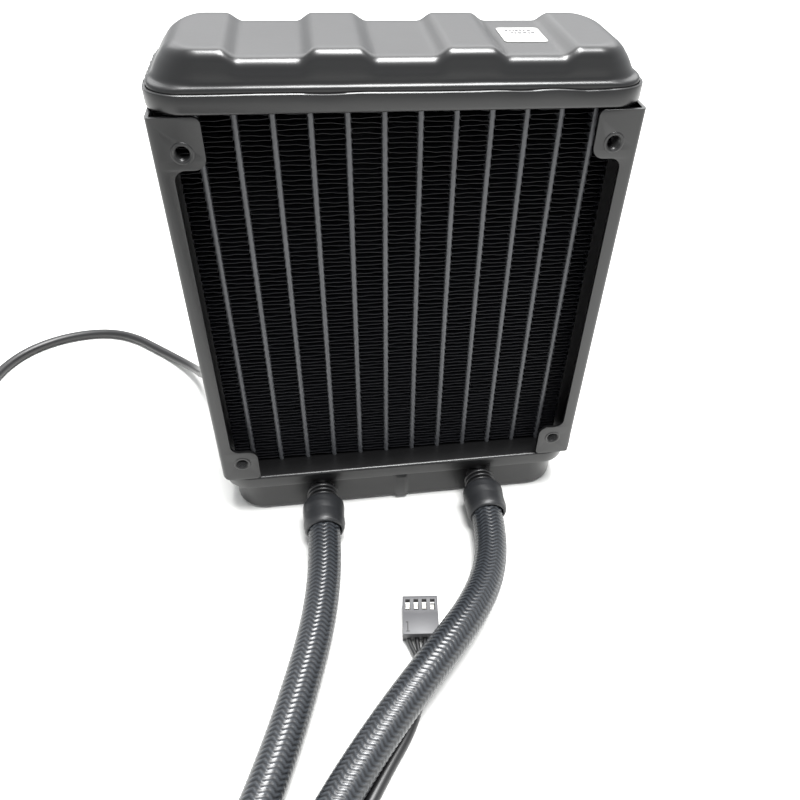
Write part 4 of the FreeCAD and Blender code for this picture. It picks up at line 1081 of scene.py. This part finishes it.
@dataclass
class Plumbing:
    """The stubs, their shrunk collars and the two braided hoses."""

    port_x: float = 27.6
    port_y: float = -17.5
    port_z: float = 8.4
    port_tilt: float = 3.5
    stub_length: float = 8.6
    collar_start: float = 7.0
    collar_end: float = 18.4
    pump_port_x: float = 12.0

    def build(self) -> None:
        """Build the hoses first, then the pieces at their ends."""
        for side, name, way in ((-1, "left", HOSE_LEFT_WAY), (1, "right", HOSE_RIGHT_WAY)):
            start = self._port(side) @ Vector((0, 0, self.stub_length))
            ends = [PUMP.point(side * self.pump_port_x, 58, 9.8), PUMP.point(side * self.pump_port_x, 44, 10)]
            BraidedHose(f"hose_{name}", [start * MM, *way, *(end * MM for end in ends)]).build()
            self._fittings(f"radiator_stub_{name}", f"radiator_collar_{name}", self._port(side), side)
            at_pump = PUMP.matrix() @ along(Vector((side * self.pump_port_x, 34, 10)), Vector((0, 1, 0)))
            self._fittings(f"pump_stub_{name}", f"pump_collar_{name}", at_pump, side + 5)

    def _port(self, side: int) -> Matrix:
        """The matrix that carries +Z from the origin to a port, pointing out of the tank's front."""
        tilt = math.radians(self.port_tilt)
        outwards = Vector((0, -math.cos(tilt), -math.sin(tilt)))
        return along(Vector((side * self.port_x, self.port_y, self.port_z)), outwards)

    def _fittings(self, stub: str, collar: str, place: Matrix, seed: int) -> None:
        """Turn a ringed stub, and the sleeve shrunk over it and the hose's end.

        Args:
            stub: the stub's node.
            collar: the collar's node.
            place: carries +Z from the wall outwards.
            seed: the source of the sleeve's unevenness.
        """
        section = [(3.0, -1.6), (4.0, -1.6), (4.0, 2.0)]
        for start in (2.0, 3.6, 5.2):
            section += [(4.4, start), (5.3, start + 0.3), (5.3, start + 1.1), (4.4, start + 1.4)]
        section += [(4.4, 6.9), (5.3, 7.1), (5.3, 8.5), (3.0, 8.5), (3.0, -1.6)]
        new_piece(f"{stub}_rings", moved(turned(softened(section, 0.35), 40), place), ELASTOMER,
                  replaces=[stub], sharp=70)
        draw = random.Random(seed)
        low, high = self.collar_start, self.collar_end
        section = softened([(5.4, low), (6.2, low), (6.85, low + 1.0), (6.95, low + 3.2), (6.72, low + 6.0),
                            (6.8, high - 2.4), (6.6, high - 0.7), (6.1, high), (5.4, high), (5.4, low)], 0.5)
        points, faces = turned(section, 64)
        waves = [(draw.choice((2, 3, 4, 5)), draw.uniform(0, math.tau), draw.uniform(0.2, 0.5))
                 for _ in range(4)]
        uneven = []
        for x, y, z in points:
            angle, radius = math.atan2(y, x), math.hypot(x, y)
            stray = sum(size * math.sin(pace * angle + start + pace * z) for pace, start, size in waves)
            grow = 1 + (0.011 * stray if radius > 6.0 else 0.0)
            loose = 0.12 * stray if z > high - 1.5 and radius > 5.9 else 0.0
            uneven.append((x * grow, y * grow, z + loose))
        new_piece(f"{collar}_sleeve", moved((uneven, faces), place), SHRINK,
                  replaces=[collar], sharp=60)


@dataclass
class Connector:
    """A four-way socket: its housing, contacts and the wires that come together into the lead."""

    name: str
    place: Matrix
    housing_node: str
    contacts_node: str = ""
    half_width: float = 5.4
    length: float = 13.0
    height: float = 5.8
    way_pitch: float = 2.54
    wire_radius: float = 0.72
    join: float = 23.0

    def build(self) -> list[bpy.types.Object]:
        """Build the socket.

        Returns:
            Its pieces, to go along with its lead.
        """
        return [self._housing(), self._contacts(), self._wires(), self._numeral()]

    def _ways(self) -> list[float]:
        """The middles of the four ways, across the socket."""
        return [self.way_pitch * (way - 1.5) for way in range(4)]

    def _housing(self) -> bpy.types.Object:
        """Mould the housing, with its ways, its windows and the low front half of its top."""
        half, top = self.half_width, self.height
        shell = moved(block((-half, -self.length, 0.0), (half, 0.0, top)), self.place)
        piece = new_piece(f"{self.name}_housing", shell, NYLON_PAINTED_GLARE,
                          replaces=[self.housing_node])
        cutters = [block((-half - 1, -6.2, top - 0.22), (half + 1, 1.0, top + 1)),
                   block((-half - 1, -self.length - 1, -1.0), (half + 1, -self.length + 1.2, 3.6))]
        for x in self._ways():
            cutters.append(block((x - 0.82, -self.length + 1.5, 1.3), (x + 0.82, 1.0, 3.7)))
            cutters.append(block((x - 0.72, -4.8, 3.2), (x + 0.72, -1.1, top + 1.2)))
            cutters.append(block((x - 0.85, -self.length - 1, 1.3), (x + 0.85, -self.length + 1.6, 3.5)))
        for cutter in cutters:
            cut_out(piece, moved(cutter, self.place))
        bevel(piece, 0.22, 2, 40)
        return piece

    def _contacts(self) -> bpy.types.Object:
        """Fold the four contacts, whose bright flat tops show in the windows."""
        parts = []
        for x in self._ways():
            high = 4.6 if x < self.way_pitch else 3.7
            profile = [(-11.4, 1.5), (-4.4, 1.5), (-4.2, 3.0), (-3.9, high), (-2.0, high),
                       (-1.7, high - 0.4), (-1.6, 2.2), (-1.9, 2.2), (-2.05, high - 0.3),
                       (-3.8, high - 0.3), (-4.0, 2.9), (-4.2, 1.8), (-11.4, 1.8)]
            rings = [[(x + side * 0.6, y, z) for y, z in profile] for side in (-1, 1)]
            parts.append(moved(loft(rings, True, True), self.place))
        nodes = [self.contacts_node] if self.contacts_node else []
        return new_piece(f"{self.name}_contacts", merge(parts), TIN, replaces=nodes)

    def _wires(self) -> bpy.types.Object:
        """Lead the four wires from the ways into the end of the lead's jacket."""
        parts = []
        for x in self._ways():
            far = Vector((x * 0.24, -self.join, 2.2))
            near = Vector((x, -self.length + 1.6, 2.4))
            rings = []
            for step in range(15):
                share = step / 14
                ease = smoothstep(share * 1.15)
                centre = Vector((near.x + (far.x - near.x) * ease, near.y + (far.y - near.y) * share,
                                 near.z + 0.35 * math.sin(math.pi * share) * (1 if x > 0 else 0.4)))
                ring = [centre + Vector((math.cos(turn), 0, math.sin(turn))) * self.wire_radius
                        for turn in (math.tau * at / 14 for at in range(14))]
                rings.append([tuple(point) for point in ring])
            parts.append(moved(loft(rings, True, True), self.place))
        return new_piece(f"{self.name}_wires", merge(parts), JACKET, sharp=70)

    def _numeral(self) -> bpy.types.Object:
        """Raise the small figure one that marks the first way, in the darker plain black moulding as painted
        shade: it stands in for the shaded grooves of a figure moulded into the socket.
        """
        top = self.height
        parts = [block((-4.1, -12.0, top - 0.1), (-3.8, -8.9, top + 0.06)),
                 block((-4.5, -9.2, top - 0.1), (-4.0, -8.9, top + 0.06)),
                 block((-4.5, -12.2, top - 0.1), (-3.4, -11.95, top + 0.06))]
        return new_piece(f"{self.name}_way_mark", moved(merge(parts), self.place), MOULDED_BLACK)


@dataclass
class Leads:
    """The pump's and the fan's thin leads, each ending in a socket."""

    diameter: float = 3.6
    front: tuple[float, float] = (0.2, -63.1)
    front_turn: float = -6.2
    fan_front: tuple[float, float] = (-151.0, -41.0)
    coil_centre: tuple[float, float] = (-0.170, 0.008)
    coil_radius: float = 0.022

    def build(self) -> None:
        """Build both leads."""
        place = Matrix.Translation((*self.front, 0)) @ Matrix.Rotation(math.radians(self.front_turn), 4, "Z")
        start = PUMP.point(32 * math.cos(math.radians(20)), 32 * math.sin(math.radians(20)), 24) * MM
        end = place @ Vector((0, -21.5, 2.1)) * MM
        socket = Connector("pump_socket", place, "pump_connector", "pump_connector_contacts").build()
        outward = PUMP.point(1, 0, 0) - PUMP.point(0, 0, 0)
        outward.rotate(Matrix.Rotation(math.radians(20), 4, "Z"))
        self._lead("pump_lead", [tuple(start), *PUMP_LEAD_WAY, tuple(end)], ["pump_lead"],
                   Vector(PUMP_LEAD_WAY[0]) - start)
        place = Matrix.Translation((*self.fan_front, 0)) @ Matrix.Rotation(math.radians(180), 4, "Z")
        turn = math.radians(39.1)
        start = Vector((-59.3 * math.cos(turn), 31.0, 77.5 - 59.3 * math.sin(turn))) * MM
        end = place @ Vector((0, -21.5, 2.1)) * MM
        socket = Connector("fan_socket", place, "fan_connector").build()
        way = [tuple(start), *FAN_LEAD_WAY, *self._coil(), *FAN_LEAD_TAIL, tuple(end)]
        self._lead("fan_lead", way, ["fan_lead", "fan_lead_coil", "fan_lead_tail"],
                   Vector(FAN_LEAD_WAY[0]) - start)

    def _coil(self) -> list[Point]:
        """Wind two loose turns on the table, the second lying on the first.

        Returns:
            Points in metres.
        """
        points = []
        turns, per_turn = 2, 14
        for step in range(turns * per_turn + 1):
            share = step / per_turn
            angle = -math.tau * share
            radius = self.coil_radius * (1.0 + 0.012 * math.sin(2.3 * angle))
            height = 0.00185 + 0.00365 * smoothstep((share - 0.8) / 0.2)
            points.append((self.coil_centre[0] + radius * math.cos(angle),
                           self.coil_centre[1] + radius * math.sin(angle), height))
        return points

    def _lead(self, name: str, way: list[Point], nodes: list[str],
              first_run: Vector) -> None:
        """Lay one lead, with the tapered relief at its root.

        Args:
            name: the lead's name.
            way: its route, in metres.
            nodes: the plain nodes that it stands for.
            first_run: the direction it leaves in.
        """
        piece = spline_object(f"{name}_jacket", way, self.diameter / 2)
        piece.data.materials.append(JACKET.material())
        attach(piece, ROOT)
        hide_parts(*nodes)
        length = line_length(line_along(way, 0.5))
        section = [(0.0, -0.6), (3.1, -0.6), (3.2, 0.6), (2.9, 1.2)]
        for ring in range(4):
            radius, base = 2.8 - 0.13 * ring, 1.5 + 1.7 * ring
            section += [(radius, base), (radius, base + 0.9), (radius - 0.3, base + 1.1),
                        (radius - 0.32, base + 1.5)]
        section += [(2.05, 8.9), (0.0, 8.9)]
        relief = moved(turned(softened(section, 0.15), 32), along(Vector(way[0]) / MM, first_run))
        root = new_piece(f"{name}_relief", relief, ELASTOMER)
        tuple(way[0])
        LOG.info("%s: %.0f mm long", name, length / MM)


# ---------------------------------------------------------------------------- fan and pump head
@dataclass
class Fan:
    """The fan on the radiator's back: its frame, wheel, motor and screws."""

    def build(self) -> None:
        """Soften the moulded pieces' edges and give the rest their finishes."""
        softened_node("fan_frame", MOULDED_BLACK, 0.4)
        softened_node("fan_rotor", GLOSSY_BLACK, 0.22, ROTOR)
        softened_node("fan_screws", BLACK_ZINC, 0.15)
        for node, finish in (("fan_shaft", GROUND_STEEL), ("fan_magnet", FERRITE), ("fan_bearing", BRONZE),
                             ("fan_stator", WINDING), ("fan_circuit_board", BOARD)):
            dress(node, finish)


@dataclass
class PumpHead:
    """The pump head on its cold plate, with its bracket and thumb screws."""

    bolt_circle: float = 75.0 / math.sqrt(2)
    head_low: float = 20.5
    head_high: float = 29.3

    def build(self) -> None:
        """Build the outside pieces and dress the inside ones."""
        softened_node("pump_housing", MOULDED_BLACK, 0.35)
        softened_node("pump_cap", GLOSSY_BLACK, 0.4)
        softened_node("mounting_bracket", BLACK_NICKEL, 0.3)
        softened_node("cold_plate", COPPER, 0.2)
        self._thumb_screws()
        for node, finish in (("cold_plate_screws", BLACK_ZINC), ("housing_seal", NITRILE),
                             ("pump_impeller", ACETAL), ("impeller_shaft", GROUND_STEEL),
                             ("pump_stator", WINDING), ("pump_circuit_board", BOARD),
                             ("tank_divider", BRAZED)):
            dress(node, finish)

    def _thumb_screws(self) -> None:
        """Turn and knurl the four thumb screws."""
        low, high = self.head_low, self.head_high
        section = softened([(0.0, 5.0), (1.2, 5.0), (1.6, 5.6), (1.6, 14.0), (1.95, 14.0), (1.95, low),
                            (3.6, low), (4.15, low + 0.6), (4.15, low + 1.4), (3.8, low + 1.8)], 0.12)
        section += [(4.18, low + 2.2 + 0.6 * step) for step in range(9)]
        section += softened([(3.8, high - 1.0), (3.7, high - 0.2), (3.2, high), (1.2, high),
                             (1.0, high - 0.7), (0.0, high - 0.7)], 0.15)
        points, faces = turned(section, 96)
        ribbed = []
        for x, y, z in points:
            angle, radius = math.atan2(y, x), math.hypot(x, y)
            if radius > 4.17:
                cut = 1 - 0.045 * (0.5 + 0.5 * math.cos(32 * angle))
                x, y = x * cut, y * cut
            ribbed.append((x, y, z))
        screws = []
        for index in range(4):
            turn = Matrix.Rotation(math.radians(45 + 90 * index), 4, "Z")
            place = PUMP.matrix() @ turn @ Matrix.Translation((self.bolt_circle, 0, 0))
            screws.append(moved((ribbed, faces), place))
        new_piece("thumb_screw_set", merge(screws), NICKEL,
                  replaces=["thumb_screws"], sharp=28)


# ---------------------------------------------------------------------------- studio
@dataclass(frozen=True)
class SoftLight:
    """One large soft light: where it stands, where it points, and how strong it is."""

    name: str
    place: Point
    aim: Point
    size: tuple[float, float]
    watts: float

    def build(self) -> None:
        """Hang the light."""
        lamp = bpy.data.lights.new(self.name, "AREA")
        lamp.shape = "RECTANGLE"
        lamp.size, lamp.size_y = self.size
        lamp.energy = self.watts
        holder = bpy.data.objects.new(self.name, lamp)
        holder.location = self.place
        holder.rotation_euler = (Vector(self.aim) - Vector(self.place)).to_track_quat("-Z", "Y").to_euler()
        bpy.context.scene.collection.objects.link(holder)


@dataclass
class Studio:
    """The pale floor, the soft lights and the camera."""

    eye: Point = (-0.02336, -0.18860, 0.20269)
    forward: Point = (0.14208474, 0.736017, -0.66188436)
    up: Point = (0.07370867, 0.65894487, 0.7485711)
    lens: float = 32.816
    shift: tuple[float, float] = (-0.0407, -0.0096)
    lights: tuple[SoftLight, ...] = (
        SoftLight("overhead_softbox", (0.1, 0.0, 1.2), (0.0, -0.05, 0.0), (0.8, 0.5), 46.0),
        SoftLight("back_panel", (0.15, 1.5, 1.2), (0.0, 0.0, 0.1), (3.0, 1.2), 27.0),
    )

    def build_camera(self) -> None:
        """Stand the camera."""
        camera = bpy.data.cameras.new("camera")
        camera.sensor_width = 36.0
        camera.lens = self.lens
        camera.shift_x, camera.shift_y = self.shift
        camera.clip_start = 0.01
        holder = bpy.data.objects.new("camera", camera)
        forward, up = Vector(self.forward).normalized(), Vector(self.up).normalized()
        right = forward.cross(up).normalized()
        turn = Matrix((right, right.cross(forward), -forward)).transposed().to_4x4()
        holder.matrix_world = Matrix.Translation(self.eye) @ turn
        bpy.context.scene.collection.objects.link(holder)
        bpy.context.scene.camera = holder

    def build_room(self) -> None:
        """Lay the floor, hang the lights and fill the surroundings with an even pale light."""
        size, count = 2.4, 24
        spots = [(-size + 2 * size * x / count, -size + 2 * size * y / count, -0.0002)
                 for y in range(count + 1) for x in range(count + 1)]
        faces = [(row * (count + 1) + at, row * (count + 1) + at + 1, (row + 1) * (count + 1) + at + 1,
                  (row + 1) * (count + 1) + at) for row in range(count) for at in range(count)]
        data = bpy.data.meshes.new("floor")
        data.from_pydata(spots, [], faces)
        data.materials.append(Finish("matt_white_board", "d6d6d4", 0.7, Surface.PLAIN).material())
        floor = bpy.data.objects.new("floor", data)
        bpy.context.scene.collection.objects.link(floor)
        world = bpy.data.worlds.new("room")
        world.use_nodes = True
        back = world.node_tree.nodes["Background"]
        back.inputs["Color"].default_value = to_linear("f2f4f6")
        back.inputs["Strength"].default_value = 0.9
        bpy.context.scene.world = world
        for light in self.lights:
            light.build()
        bpy.context.scene.view_settings.view_transform = "Standard"


def main() -> None:
    """Build the studio, then every sub-assembly."""
    logging.basicConfig(level=logging.INFO, format="%(name)s: %(message)s")
    studio = Studio()
    studio.build_camera()
    studio.build_room()
    Plumbing().build()
    Leads().build()
    Tanks().build()
    SideFrames().build()
    Core().build()
    Fan().build()
    PumpHead().build()
    bpy.context.view_layer.update()


if __name__ == "__main__":
    main()
